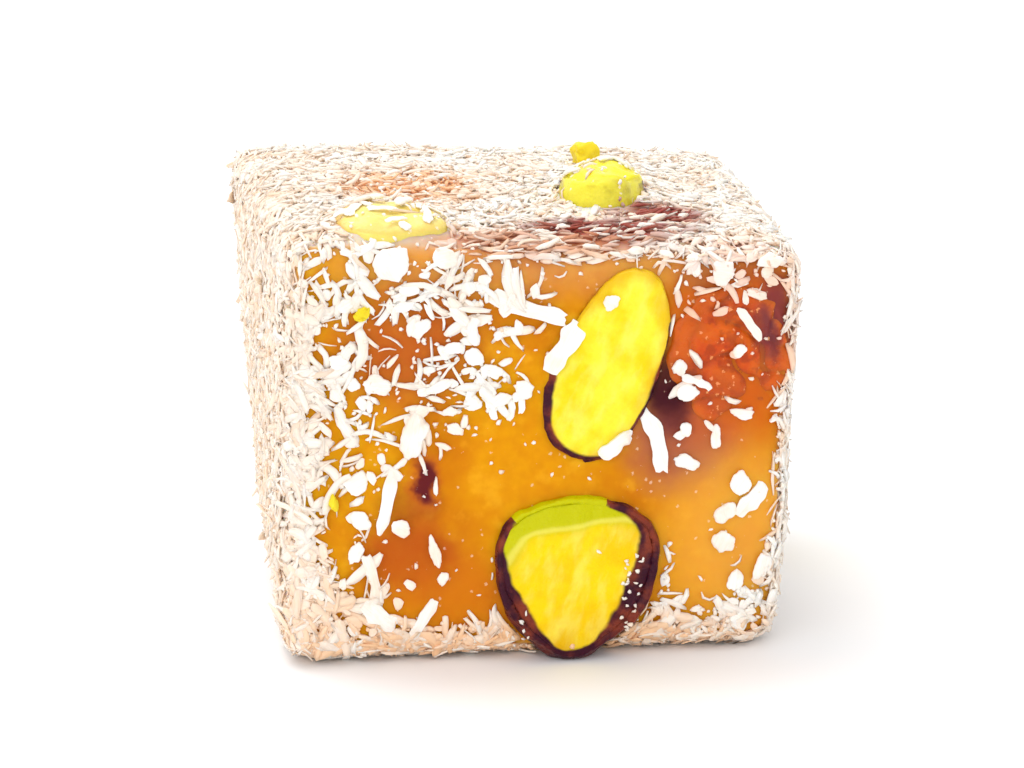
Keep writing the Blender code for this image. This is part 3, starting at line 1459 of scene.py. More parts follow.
@dataclass
class Coat:
    """How the coat lies on the finished sweet: where it is thick, and where a bit comes to rest.

    The laps are how far it reaches over each edge of the bare front. heap is the most cover that there
    is, and facing how squarely the surface has to face a side to hold a bit of it.
    """

    block: Object
    kernels: tuple[Object, ...]
    cherries: tuple[Object, ...]
    beds: tuple[Bed, ...]
    lap_left: float = 2.9
    lap_right: float = 1.5
    lap_bottom: float = 3.5
    lap_top: float = 2.0
    lap_core: float = 0.4  # the share of a lap that lies under the full lap_cover
    lap_cover: float = 0.95
    base_cover: float = 0.6
    bed_rim: float = 1.3  # where a bed's cover starts, as a share of its reach
    bed_core: float = 0.5  # where it is full
    facing: float = 0.4
    heap: float = 2.0
    drop: float = 5.0  # how far above the outline a bit starts
    ends: float = 0.45  # how far from a bit's middle its ends touch down, as a share of its length
    sagging: float = 6.0  # how much a bit curls for its sag

    def __post_init__(self) -> None:
        """Reads the finished pieces that it lies on."""
        self.ground = tree_of([piece.data for piece in (self.block, *self.kernels, *self.cherries)], 1 / MM)
        self.nuts = tree_of([piece.data for piece in self.kernels], 1 / MM)
        self.fruit = tree_of([piece.data for piece in self.cherries], 1 / MM)

    @staticmethod
    def half_of(side: Side) -> tuple[float, float]:
        """Returns half the width and half the height of a side."""
        return abs(side.across.dot(OUTLINE.half)), abs(side.up.dot(OUTLINE.half))

    def cover(self, side: Side, across: np.ndarray, up: np.ndarray, stray: float) -> np.ndarray:
        """Tells how thickly coconut lies at places on a side.

        Args:
            side: the side.
            across, up: the places, from the side's middle.
            stray: the cover of the bare front.

        Returns:
            The cover at each, from 0 to the heap's, where 1 is the common coat.
        """
        wide, high = self.half_of(side)
        if side is Side.FRONT:
            laps = (
                (self.lap_left, across + wide),
                (self.lap_right, wide - across),
                (self.lap_bottom, up + high),
                (self.lap_top, high - up),
            )
            lapped = [eased(lap, self.lap_core * lap, inward) for lap, inward in laps]
            total = stray + self.lap_cover * np.maximum.reduce(lapped)
        else:
            total = np.full(len(across), self.base_cover if side is Side.BASE else 1.0)
        for bed in self.beds:
            total = total + bed.cover * eased(self.bed_rim, self.bed_core, bed.away(side, across, up))
        return np.clip(total, 0.0, self.heap)

    def angle(self, side: Side, across: float, up: float, chance: Chance) -> float:
        """Picks which way a bit lies on a side.

        Args:
            side: the side.
            across, up: its place, from the side's middle.
            chance: the source of random numbers.

        Returns:
            The angle, in degrees.
        """
        for bed in self.beds:
            if bed.combed is not None and bed.away(side, across, up) < 1:
                return chance.normal(bed.combed, COMB_SPREAD)
        return chance.uniform(0, 360)

    def settle(self, spots: Spots, bit: Bit) -> None:
        """Drops a bit straight onto its side. It is noted unless it misses, or covers what it may not.

        Args:
            spots: where it is noted.
            bit: the bit.
        """
        start = OUTLINE.place(bit.side, bit.across, bit.up) + bit.side.outward * self.drop
        point, normal, _, _ = self.ground.ray_cast(start, -bit.side.outward)
        if point is None or normal.dot(bit.side.outward) < self.facing:
            return
        turn = math.radians(bit.angle)
        along = bit.side.across * math.cos(turn) + bit.side.up * math.sin(turn)
        along = (along - normal * along.dot(normal)).normalized()
        ends = []
        for sign in (-1, 1):
            end = point + along * (sign * bit.length * self.ends)
            found, end_normal, _, _ = self.ground.find_nearest(end)
            ends.append(found + end_normal * (bit.lift + sign * bit.slope * bit.length / 2))
        if min(clearance(self.nuts, spot) for spot in (point, *ends)) < bit.nut_room:
            return
        if clearance(self.fruit, point) < bit.fruit_room:
            return
        chord = ends[1] - ends[0]
        outward = (normal - chord * (normal.dot(chord) / chord.length_squared)).normalized()
        middle = point + outward * (bit.lift + bit.thickness / 2)
        sag = max(0.0, (middle - (ends[0] + ends[1]) / 2).dot(outward))
        spots.add(
            middle=middle,
            along=chord.normalized(),
            outward=outward,
            length=bit.length,
            width=bit.width,
            thickness=bit.thickness,
            curl=math.radians(bit.curl) - self.sagging * sag / bit.length,
            bend=math.radians(bit.bend),
            twist=math.radians(bit.twist),
            level=bit.level,
        )


@dataclass
class Coconut(Piece):
    """All the coconut bits of one kind, joined as one piece. Sizes are least and most, and turns are spreads.

    tilt is the spread of their slopes, and depth how thick the coat is. stray is the cover of the bare
    front, and on_front multiplies the front's whole cover. on_nuts and on_fruit are the shares of bits
    that may lie there, while the others keep nut_room and fruit_room. kinds is how many templates there
    are, sharp the angle from which edges look sharp, and apart how far bits of drifts keep from each
    other, as a share of their lengths.
    """

    coat: Coat | None = None
    count: int = 1000
    length: tuple[float, float] = (1.0, 3.0)
    width: tuple[float, float] = (0.3, 0.6)
    thickness: tuple[float, float] = (0.1, 0.2)
    curl: float = 25.0
    bend: float = 20.0
    twist: float = 30.0
    tilt: float = 0.11
    depth: float = 0.3
    stray: float = 0.002
    on_front: float = 1.0
    on_nuts: float = 0.02
    nut_room: float = 0.15
    on_fruit: float = 0.35
    fruit_room: float = 0.05
    kinds: int = 6
    seed: int = 1
    sharp: float = 60.0
    apart: float = 0.45
    bare_share: float = 0.5  # how high and how sloping bits lie on the bare front, of what they do elsewhere
    bare_level: float = 0.55  # the lowest level there
    drifts: tuple[Drift, ...] = ()

    @abstractmethod
    def template(self, shape: Shape, chance: Chance) -> None:
        """Shapes one bit, 1 long in X, 1 wide in Y and 1 thick in Z, round the origin.

        Args:
            shape: an empty bmesh, which it fills.
            chance: the source of random numbers.
        """

    def build(self) -> Mesh:
        """Lays every bit and joins them.

        Returns:
            The mesh, in millimetres.
        """
        chance = np.random.default_rng(SEED * 1000 + self.seed)
        spots = Spots()
        for drift in self.drifts:
            self.strew(drift, spots, chance)
        placed = len(spots.middle)
        self.scatter(spots, chance)
        return self.joined(spots.columns(), placed, chance)

    def strew(self, drift: Drift, spots: Spots, chance: Chance) -> None:
        """Scatters the bits of a drift, and leaves out those that would lie on another.

        Args:
            drift: the drift.
            spots: where the bits are noted.
            chance: the source of random numbers.
        """
        across, up = drift.mark.on_side()
        wanted = len(spots.middle) + drift.count
        for _ in range(TRIES * drift.count):
            turn = chance.uniform(0, 2 * math.pi)
            reach = math.sqrt(chance.uniform())
            place = (across + drift.wide * reach * math.cos(turn), up + drift.high * reach * math.sin(turn))
            bit = self.random_bit(drift.mark.side, *place, chance)
            bit.length *= drift.scale
            bit.width *= drift.scale
            bit.thickness *= drift.scale
            if drift.on_nut:
                bit.nut_room = ANYWHERE
            bit.level = 0.0 if drift.soaked else PROUD
            start = OUTLINE.place(bit.side, bit.across, bit.up)
            rooms = (self.apart * (bit.length + length) for length in spots.length)
            if all((start - middle).length > room for middle, room in zip(spots.middle, rooms)):
                self.coat.settle(spots, bit)
            if len(spots.middle) == wanted:
                return

    def scatter(self, spots: Spots, chance: Chance) -> None:
        """Scatters bits over every side by the coat's cover.

        Args:
            spots: where they are noted.
            chance: the source of random numbers.
        """
        sides = list(Side)
        halves = [self.coat.half_of(side) for side in sides]
        areas = np.array([wide * high for wide, high in halves])
        while len(spots.middle) < self.count:
            picks = chance.choice(len(sides), BATCH, p=areas / areas.sum())
            places = chance.uniform(-1, 1, (BATCH, 2))
            wanted = chance.uniform(0, self.coat.heap, BATCH)
            for number, side in enumerate(sides):
                mine = picks == number
                across, up = (places[mine] * halves[number]).T
                share = self.on_front if side is Side.FRONT else 1.0
                kept = wanted[mine] < self.coat.cover(side, across, up, self.stray) * share
                for place in zip(across[kept], up[kept]):
                    if len(spots.middle) < self.count:
                        self.coat.settle(spots, self.random_bit(side, *place, chance))

    def random_bit(self, side: Side, across: float, up: float, chance: Chance) -> Bit:
        """Picks the sizes and turns of one bit. On the bare front it lies flatter on the jelly.

        Args:
            side: its side.
            across, up: its place, from the side's middle.
            chance: the source of random numbers.

        Returns:
            The bit.
        """
        bare = side is Side.FRONT
        share = self.bare_share if bare else 1.0
        level = chance.beta(1.0, 1.2) * share
        return Bit(
            across,
            up,
            side=side,
            length=self.length[0] + chance.beta(1.6, 2.6) * (self.length[1] - self.length[0]),
            width=chance.uniform(*self.width),
            thickness=chance.uniform(*self.thickness),
            angle=self.coat.angle(side, across, up, chance),
            curl=chance.normal(0, self.curl),
            bend=chance.normal(0, self.bend),
            twist=chance.normal(0, self.twist),
            lift=level * self.depth,
            slope=chance.normal(0, self.tilt) * share,
            level=max(level, self.bare_level if bare else 0.0),
            nut_room=ANYWHERE if chance.uniform() < self.on_nuts else self.nut_room,
            fruit_room=ANYWHERE if chance.uniform() < self.on_fruit else self.fruit_room,
        )

    def joined(self, bits: dict[str, np.ndarray], placed: int, chance: Chance) -> Mesh:
        """Makes the joined mesh of every bit, as copies of a few templates.

        Args:
            bits: the property columns of the bits.
            placed: how many of them, from the first, were laid in drifts. They have the palest tints.
            chance: the source of random numbers.

        Returns:
            The mesh, with its paint and its map, which gives each bit a cell of its own.
        """
        total = len(bits["length"])
        tints = chance.uniform(0, 1, total)
        tints[:placed] *= PALE_TINTS
        cells = math.ceil(math.sqrt(total))
        gathered = {key: [] for key in ("co", "corner", "size", "tint", "level", "fibre", "uv")}
        begun = 0
        for kind in range(self.kinds):
            mine = np.arange(kind, total, self.kinds)
            form, loops, counts = self.cut_out(chance)
            copies = {name: values[mine] for name, values in bits.items()}
            laid = self.shaped(form, copies)
            gathered["co"].append(laid.reshape(-1, 3))
            gathered["corner"].append((loops + begun + len(form) * np.arange(len(mine))[:, None]).ravel())
            gathered["size"].append(np.tile(counts, len(mine)))
            begun += laid.shape[0] * laid.shape[1]
            gathered["tint"].append(np.repeat(tints[mine], len(form)))
            gathered["level"].append(np.repeat(copies["level"], len(form)))
            scales = np.stack([copies[name] for name in ("length", "width", "thickness")], 1)
            fibre = form[None] * scales[:, None] + tints[mine][:, None, None] * TINT_SHIFT
            gathered["fibre"].append(fibre.reshape(-1, 3))
            flat = np.stack([form[:, 0], form[:, 1] * 0.8 + form[:, 2] * 0.2], 1)[loops] * 0.8 + 0.5
            cell = np.stack([mine % cells, mine // cells], 1)
            gathered["uv"].append(((flat[None] + cell[:, None]) / cells).reshape(-1, 2))
        whole = {key: np.concatenate(parts) for key, parts in gathered.items()}
        mesh = self.from_arrays(whole["co"], whole["corner"], whole["size"])
        for name in ("tint", "level", "fibre"):
            paint(mesh, name, whole[name])
        layer = mesh.uv_layers.new(name="OFBake")
        layer.uv.foreach_set("vector", whole["uv"].astype(np.float32).ravel())
        return mesh

    def cut_out(self, chance: Chance) -> tuple[np.ndarray, np.ndarray, np.ndarray]:
        """Makes one template.

        Args:
            chance: the source of random numbers.

        Returns:
            Its vertices, the vertex at each corner of its faces, and how many corners each face has.
        """
        shape = bmesh.new()
        self.template(shape, chance)
        bmesh.ops.recalc_face_normals(shape, faces=shape.faces)
        shape.verts.index_update()
        form = np.array([tuple(vertex.co) for vertex in shape.verts])
        loops = np.array([vertex.index for face in shape.faces for vertex in face.verts])
        counts = np.array([len(face.verts) for face in shape.faces])
        shape.free()
        return form, loops, counts

    @staticmethod
    def shaped(form: np.ndarray, bits: dict[str, np.ndarray]) -> np.ndarray:
        """Sizes, twists, curls, bends and places copies of one template.

        Args:
            form: the template's vertices.
            bits: the property columns of the bits that are copies of it.

        Returns:
            The vertices of each copy.
        """
        share = form[None, :, 0]
        x = share * bits["length"][:, None]
        y = form[None, :, 1] * bits["width"][:, None]
        z = form[None, :, 2] * bits["thickness"][:, None]
        turn = share * bits["twist"][:, None]
        y, z = y * np.cos(turn) - z * np.sin(turn), y * np.sin(turn) + z * np.cos(turn)
        curl, bend = (
            bits["length"][:, None] / np.where(np.abs(bits[name]) < 1e-3, 1e-3, bits[name])[:, None]
            for name in ("curl", "bend")
        )
        x, z = (curl - z) * np.sin(x / curl), curl - (curl - z) * np.cos(x / curl)
        x, y = (bend - y) * np.sin(x / bend), bend - (bend - y) * np.cos(x / bend)
        sideways = np.cross(bits["outward"], bits["along"])
        placed = (
            bits["middle"][:, None]
            + x[..., None] * bits["along"][:, None]
            + y[..., None] * sideways[:, None]
            + z[..., None] * bits["outward"][:, None]
        )
        on_floor = FLOOR_GAP * (1 + form[None, :, 2])
        placed[..., 2] = np.maximum(placed[..., 2], on_floor)
        return placed

    @staticmethod
    def from_arrays(points: np.ndarray, corners: np.ndarray, sizes: np.ndarray) -> Mesh:
        """Makes a mesh from joined arrays.

        Args:
            points: the vertices.
            corners: the vertex at each corner of each face.
            sizes: how many corners each face has.

        Returns:
            The mesh.
        """
        mesh = bpy.data.meshes.new("bits")
        mesh.vertices.add(len(points))
        mesh.loops.add(len(corners))
        mesh.polygons.add(len(sizes))
        mesh.vertices.foreach_set("co", points.astype(np.float32).ravel())
        mesh.loops.foreach_set("vertex_index", corners.astype(np.int32))
        starts = np.concatenate([[0], np.cumsum(sizes)[:-1]])
        mesh.polygons.foreach_set("loop_start", starts.astype(np.int32))
        mesh.update(calc_edges=True)
        return mesh

    def dress(self, mesh: Mesh) -> None:
        """Gives the bits their finish, with their cut edges sharp."""
        super().dress(mesh)
        mesh.set_sharp_from_angle(angle=math.radians(self.sharp))


def long_edges(shape: Shape, axis: int) -> list[bmesh.types.BMEdge]:
    """Finds the edges of a unit bar that run along an axis."""
    return [edge for edge in shape.edges if abs(edge.verts[0].co[axis] - edge.verts[1].co[axis]) > 0.5]


@dataclass
class Threads(Coconut):
    """The finest strands, three-sided."""

    def template(self, shape: Shape, chance: Chance) -> None:
        """Cuts a three-sided bar in three along its length and makes it uneven.

        Args:
            shape: an empty bmesh, which it fills.
            chance: the source of random numbers.
        """
        bmesh.ops.create_cone(shape, cap_ends=True, segments=3, radius1=0.5, radius2=0.5, depth=1.0)
        bmesh.ops.rotate(shape, verts=shape.verts, matrix=Matrix.Rotation(math.pi / 2, 3, "Y"))
        bmesh.ops.subdivide_edges(shape, edges=long_edges(shape, 0), cuts=2)
        for vertex in shape.verts:
            end = abs(vertex.co.x) > 0.4
            vertex.co.yz *= chance.uniform(0.3, 0.7) if end else chance.uniform(0.8, 1.2)


@dataclass
class Shreds(Coconut):
    """Narrow strips."""

    def template(self, shape: Shape, chance: Chance) -> None:
        """Cuts a bar in three along its length, tapers its ends and makes it uneven.

        Args:
            shape: an empty bmesh, which it fills.
            chance: the source of random numbers.
        """
        bmesh.ops.create_cube(shape, size=1.0)
        bmesh.ops.subdivide_edges(shape, edges=long_edges(shape, 0), cuts=2)
        for vertex in shape.verts:
            end = abs(vertex.co.x) > 0.4
            vertex.co.x += chance.uniform(-0.1, 0.1)
            vertex.co.y *= chance.uniform(0.25, 0.85) if end else chance.uniform(0.7, 1.25)
            vertex.co.z *= chance.uniform(0.4, 0.9) if end else chance.uniform(0.75, 1.25)


@dataclass
class Ribbons(Coconut):
    """Long shavings."""

    lengthwise: int = 7
    crosswise: int = 1
    torn: float = 0.06

    def template(self, shape: Shape, chance: Chance) -> None:
        """Cuts a bar into small parts, rounds it, and gives it torn ends, wavering edges and an uneven face.

        Args:
            shape: an empty bmesh, which it fills.
            chance: the source of random numbers.
        """
        bmesh.ops.create_cube(shape, size=1.0)
        bmesh.ops.subdivide_edges(shape, edges=long_edges(shape, 0), cuts=self.lengthwise)
        bmesh.ops.subdivide_edges(shape, edges=long_edges(shape, 1), cuts=self.crosswise)
        start = chance.uniform(0, 90)
        blunt = chance.uniform(0.45, 0.9)
        for vertex in shape.verts:
            along, aside, above = vertex.co
            end = max(0.0, (abs(along) - 0.34) / 0.16)
            narrowed = 1 - (1 - blunt) * end
            wavered = 1 + 0.5 * noise.noise(Vector((along * 4, math.copysign(3, aside), start)))
            vertex.co.y = aside * narrowed * wavered + 0.1 * noise.noise(Vector((along * 2, start, 0)))
            uneven = 0.5 * noise.noise(Vector((along * 5, aside * 2, start)))
            vertex.co.z = above * (1.25 - 2.6 * aside * aside) * (1 - 0.4 * end) + uneven
            tear = noise.noise(Vector((aside * 6, start, math.copysign(5, along))))
            vertex.co.x += self.torn * end * (tear - 0.4 * abs(above))


@dataclass
class Chips(Coconut):
    """Broad flakes with straight and broken edges."""

    points: int = 14
    rings: int = 4
    sides: int = 6
    ragged: float = 0.12
    squareness: float = 9.0

    def template(self, shape: Shape, chance: Chance) -> None:
        """Flattens a ball to a disc, cuts it to an uneven outline and gives it an uneven face.

        Args:
            shape: an empty bmesh, which it fills.
            chance: the source of random numbers.
        """
        bmesh.ops.create_uvsphere(shape, u_segments=self.points, v_segments=self.rings, radius=1.0)
        strays = chance.uniform(-0.35, 0.35, self.sides)
        facings = 2 * math.pi * (np.arange(self.sides) + strays) / self.sides
        depths = chance.uniform(0.3, 0.5, self.sides)
        start = chance.uniform(0, 90)
        for vertex in shape.verts:
            around = math.atan2(vertex.co.y, vertex.co.x)
            rise = math.asin(max(-1.0, min(1.0, vertex.co.z))) / (math.pi / 2)
            nearness = np.maximum(np.cos(around - facings), 0.05) / depths
            outline = float((nearness**self.squareness).sum() ** (-1 / self.squareness))
            place = Vector((math.cos(around), math.sin(around), 0.0))
            shift = Vector((0, 0, start))
            waver = noise.noise(place * 2.5 + shift) + 0.5 * noise.noise(place * 8 + shift)
            outline *= 1 + self.ragged * waver
            reach = min(outline, 0.62) * (1 - abs(rise) ** 2.2)
            uneven = 0.35 * noise.noise(place * reach * 5 + shift)
            vertex.co = place * reach
            vertex.co.z = math.copysign(0.5 * min(1.0, abs(rise) * 2.4), rise) + uneven
        # A new ball's corners and faces come in another order each run.
        shape.verts.sort(key=lambda vertex: vertex.co.dot(SORTED_ALONG))
        shape.faces.sort(key=lambda face: face.calc_center_median().dot(SORTED_ALONG))


@dataclass
class Crumbs(Coconut):
    """Fine crumbs."""

    def template(self, shape: Shape, chance: Chance) -> None:
        """Makes a ball of few faces uneven.

        Args:
            shape: an empty bmesh, which it fills.
            chance: the source of random numbers.
        """
        bmesh.ops.create_icosphere(shape, subdivisions=1, radius=0.5)
        for vertex in shape.verts:
            vertex.co *= chance.uniform(0.65, 1.25)


@dataclass
class Lumps(Coconut):
    """Broken bits of nut, which lie among the coconut."""

    def template(self, shape: Shape, chance: Chance) -> None:
        """Makes a fine ball lumpy and flattens some of its sides.

        Args:
            shape: an empty bmesh, which it fills.
            chance: the source of random numbers.
        """
        bmesh.ops.create_icosphere(shape, subdivisions=4, radius=0.5)
        start = Vector((0, 0, chance.uniform(0, 90)))
        facings = unit(chance.normal(0, 1, (6, 3)))
        for vertex in shape.verts:
            lump = 1 + 0.35 * noise.noise(vertex.co * 4 + start) + 0.1 * noise.noise(vertex.co * 12 + start)
            beyond = np.maximum(facings @ np.array(vertex.co * lump) - 0.32, 0.0)
            vertex.co = vertex.co * lump - Vector(beyond @ facings) * 0.8


# ---------------- Studio ----------------


@dataclass
class Lamp:
    """A soft square light that points at the sweet."""

    name: str
    away: tuple[float, float, float]
    size: float
    power: float


@dataclass
class Studio:
    """The pale floor, the soft light and the camera."""

    floor_size: float = 4.0
    surround: float = 0.95
    lamps: tuple[Lamp, ...] = (
        Lamp("key", (-0.15, 0.2, 0.6), 0.4, 2.2),
        Lamp("fill", (-0.24, -0.54, 0.22), 0.6, 1.1),
    )
    lens: float = 180.0
    azimuth: float = -8.0
    elevation: float = 14.0
    view_width: float = 74.0
    sensor: float = 36.0

    def build(self) -> None:
        """Sets up everything but the sweet."""
        self.lay_floor()
        self.light()
        self.place_camera()
        bpy.context.scene.view_settings.view_transform = "Standard"

    def lay_floor(self) -> None:
        """Lays the floor."""
        shape = bmesh.new()
        bmesh.ops.create_grid(shape, x_segments=4, y_segments=4, size=self.floor_size / 2)
        mesh = to_mesh(shape, "floor")
        mesh.materials.append(FloorFinish().material())
        floor = add_object("floor", mesh)

    def light(self) -> None:
        """Hangs the lamps and makes the surroundings white."""
        world = bpy.data.worlds.new("soft_white")
        world.use_nodes = True
        sheet = Sheet(world.node_tree)
        background = sheet.add("Background", Color=(1.0, 1.0, 1.0, 1.0), Strength=self.surround)
        sheet.add("OutputWorld", Surface=background.outputs[0])
        bpy.context.scene.world = world
        target = OUTLINE.middle * MM
        for lamp in self.lamps:
            data = bpy.data.lights.new(lamp.name, "AREA")
            data.shape = "SQUARE"
            data.size = lamp.size
            data.energy = lamp.power
            light = add_object(lamp.name, data)
            light.location = target + Vector(lamp.away)
            light.rotation_euler = (target - light.location).to_track_quat("-Z", "Y").to_euler()

    def place_camera(self) -> None:
        """Points a long lens at the sweet's middle."""
        data = bpy.data.cameras.new("camera")
        data.lens = self.lens
        data.sensor_width = self.sensor
        turn = math.radians(self.azimuth)
        rise = math.radians(self.elevation)
        back = Vector((math.sin(turn) * math.cos(rise), -math.cos(turn) * math.cos(rise), math.sin(rise)))
        distance = self.view_width * MM * self.lens / self.sensor
        camera = add_object("camera", data)
        camera.location = OUTLINE.middle * MM + back * distance
        camera.rotation_euler = (-back).to_track_quat("-Z", "Y").to_euler()
        bpy.context.scene.camera = camera


# ---------------- The sweet ----------------

UPPER = "pistachio_front_upper"
LOWER = "pistachio_front_lower"
TOP_REAR = "pistachio_top_rear"
TOP_FRONT = "pistachio_top_front"
FRUIT = "cherry_front"

BEHIND_KERNEL = Mark(1.0, -0.25, UPPER)
UNDER_KERNEL = Mark(1.0, -0.5, UPPER)
FRUIT_EDGE = Mark(0.75, 0.5, FRUIT)
OVER_FRUIT = Mark(-0.25, 1.25, FRUIT)
UPPER_LEFT = Mark(-0.5, 0.5)
LOWER_LEFT = Mark(-0.5, -0.5)
RIGHT_EDGE = Mark(0.75, -0.5)
DARK_SPECK = Mark(-2.0, 1.25, LOWER)
RED_STREAK = Mark(0.25, -0.75, side=Side.TOP)
RED_STREAK_END = Mark(0.5, -0.5, side=Side.TOP)
TOP_EDGE = Mark(0.0, -0.9, side=Side.TOP)
PEACH = Mark(-0.4, 0.0, side=Side.TOP)

BLOTS = (
    Blot(LOWER_LEFT, (3.8, 4.0, 2.8), srgb(186, 82, 18), 0.85, 0.5, 2.4),
    Blot(Mark(-0.5, -0.25), (1.9, 4.0, 1.4), srgb(140, 44, 22), 0.5, 0.6, 2.6),
    Blot(DARK_SPECK, (1.0, 3.0, 1.9), srgb(190, 84, 30), 0.8, 0.5, 2.6),
    Blot(DARK_SPECK, (0.7, 3.0, 1.4), srgb(96, 22, 34), 0.95, 0.4, 2.6),
    # This blot darkens the jelly to red-brown where the upper-left flakes lie: painted shade between the
    # flakes.
    Blot(UPPER_LEFT, (5.0, 4.0, 4.4), srgb(186, 84, 34), 0.75, 0.5),
    Blot(Mark(0.5, 0.0), (3.8, 4.0, 3.4), srgb(178, 98, 66), 1.0, 0.5),
    Blot(RIGHT_EDGE, (5.5, 3.0, 6.5), srgb(236, 168, 66), 0.7, 0.6),
    Blot(Mark(0.0, 0.25, FRUIT), (5.2, 4.0, 6.8), srgb(206, 92, 24), 0.9, 0.35),
    Blot(UNDER_KERNEL, (1.6, 4.0, 1.8), srgb(126, 58, 56), 0.8, 0.5),
    Blot(BEHIND_KERNEL, (1.9, 4.0, 2.4), srgb(66, 14, 28), 0.95, 0.45),
    Blot(FRUIT_EDGE, (1.4, 4.0, 3.4), srgb(116, 48, 58), 0.85, 0.5),
    Blot(OVER_FRUIT, (3.2, 4.0, 1.8), srgb(150, 66, 22), 0.7, 0.6),
    Blot(Mark(0.0, 0.9), (14.0, 3.0, 2.8), srgb(222, 158, 92), 0.6, 0.6),
    Blot(Mark(-0.25, -0.75), (8.0, 3.0, 3.2), srgb(208, 112, 14), 0.7, 0.6),
    Blot(RED_STREAK, (6.0, 3.0, 3.0), srgb(170, 72, 58), 0.95, 0.4),
    Blot(RED_STREAK_END, (3.4, 2.8, 3.0), srgb(160, 60, 50), 0.95, 0.4),
    Blot(TOP_EDGE, (8.0, 2.4, 2.6), srgb(190, 104, 60), 0.8, 0.5),
    Blot(PEACH, (5.2, 5.5, 3.0), srgb(238, 166, 104), 0.85, 0.5),
)

CHERRY_BLOTS = (
    Blot(UNDER_KERNEL, (1.6, 3.0, 1.6), srgb(130, 60, 56), 0.7, 0.5),
    Blot(BEHIND_KERNEL, (1.9, 3.0, 2.2), srgb(70, 14, 28), 0.95, 0.5),
    Blot(FRUIT_EDGE, (1.3, 3.0, 2.8), srgb(104, 40, 54), 0.85, 0.5),
    Blot(OVER_FRUIT, (3.0, 3.0, 2.2), srgb(128, 46, 18), 0.75, 0.6),
    Blot(Mark(-0.25, -0.5, FRUIT), (3.2, 3.0, 1.6), srgb(176, 74, 30), 0.6, 0.6),
)

COAT_BLOTS = (
    Blot(RED_STREAK, (6.4, 2.8, 3.0), srgb(146, 50, 44), 1.0, 0.5),
    Blot(RED_STREAK_END, (3.6, 3.6, 3.0), srgb(150, 54, 48), 1.0, 0.5),
    Blot(TOP_EDGE, (8.0, 2.2, 2.4), srgb(206, 136, 96), 0.8, 0.5),
    Blot(PEACH, (5.4, 6.0, 3.0), srgb(242, 180, 124), 0.9, 0.6),
    Blot(Mark(0.0, 0.5, FRUIT), (5.0, 4.0, 6.0), srgb(244, 186, 156), 0.7, 0.6),
    Blot(Mark(-0.75, -0.75), (5.0, 4.0, 5.0), srgb(250, 204, 162), 0.7, 0.6),
    Blot(Mark(0.0, -0.95), (20.0, 3.0, 2.4), srgb(250, 196, 146), 0.9, 0.6),
    Blot(Mark(0.0, 0.0, side=Side.LEFT), (5.0, 22.0, 20.0), srgb(247, 218, 190), 0.85, 0.8),
)

BEDS = (
    Bed(UPPER_LEFT, 8.8, 7.6, 0.26),
    Bed(Mark(-0.5, 0.75), 8.0, 3.0, 0.1),
    Bed(Mark(0.0, 0.9), 4.0, 1.8, 0.22),
    Bed(Mark(-0.75, 0.0), 3.6, 6.0, 0.15),
    Bed(Mark(-0.9, 0.0), 1.6, 16.0, 0.8),
    Bed(Mark(-0.9, -0.75), 2.6, 5.0, 0.8),
    Bed(Mark(0.0, 1.25, FRUIT), 7.0, 2.6, 0.3),
    Bed(Mark(-0.75, -0.75), 5.0, 3.2, 0.35),
    Bed(Mark(0.75, -0.85), 7.0, 2.6, 0.3),
    Bed(Mark(0.0, -0.97), 26.0, 1.5, 1.4),
    Bed(Mark(1.2, -0.25, LOWER), 1.0, 3.2, 0.5),
    Bed(Mark(0.0, 0.0, FRUIT), 5.5, 7.0, 0.05),
    Bed(Mark(0.0, -1.0, LOWER), 2.4, 1.6, -1.3),
    Bed(Mark(-0.5, 0.95), 3.6, 1.4, -0.6),
    Bed(RED_STREAK, 5.8, 2.6, -0.66, combed=14),
    Bed(RED_STREAK_END, 3.4, 3.4, -0.62, combed=38),
    Bed(TOP_EDGE, 7.0, 1.8, -0.6, combed=4),
    Bed(PEACH, 5.0, 5.0, -0.55),
    Bed(Mark(0.0, -1.0, TOP_FRONT, Side.TOP), 4.4, 2.4, -0.9),
    Bed(Mark(0.0, -0.95, TOP_REAR, Side.TOP), 3.4, 1.6, -0.5),
)

SHRED_DRIFTS = (
    Drift(RED_STREAK, 5.6, 2.2, 30, soaked=True),
    Drift(RED_STREAK_END, 3.0, 3.2, 22, soaked=True),
    Drift(TOP_EDGE, 7.5, 1.4, 18, soaked=True),
)

RIBBON_DRIFTS = (
    Drift(Mark(-0.25, 0.25), 4.0, 2.0, 3),
    Drift(Mark(0.0, 0.0, TOP_FRONT, Side.TOP), 3.8, 3.6, 12, on_nut=True),
    Drift(Mark(0.0, 0.0, TOP_REAR, Side.TOP), 2.8, 4.0, 7, on_nut=True),
    Drift(Mark(-1.0, 0.5, UPPER), 3.0, 3.5, 2, on_nut=True, scale=2.1),
    Drift(Mark(0.5, -0.75, UPPER), 2.0, 1.5, 2, on_nut=True, scale=1.9),
    Drift(LOWER_LEFT, 6.5, 5.5, 4, scale=1.9),
    Drift(Mark(0.0, 0.0, FRUIT), 3.0, 3.0, 2, scale=1.3),
    Drift(Mark(0.75, -0.25), 3.0, 3.0, 1, scale=1.9),
)

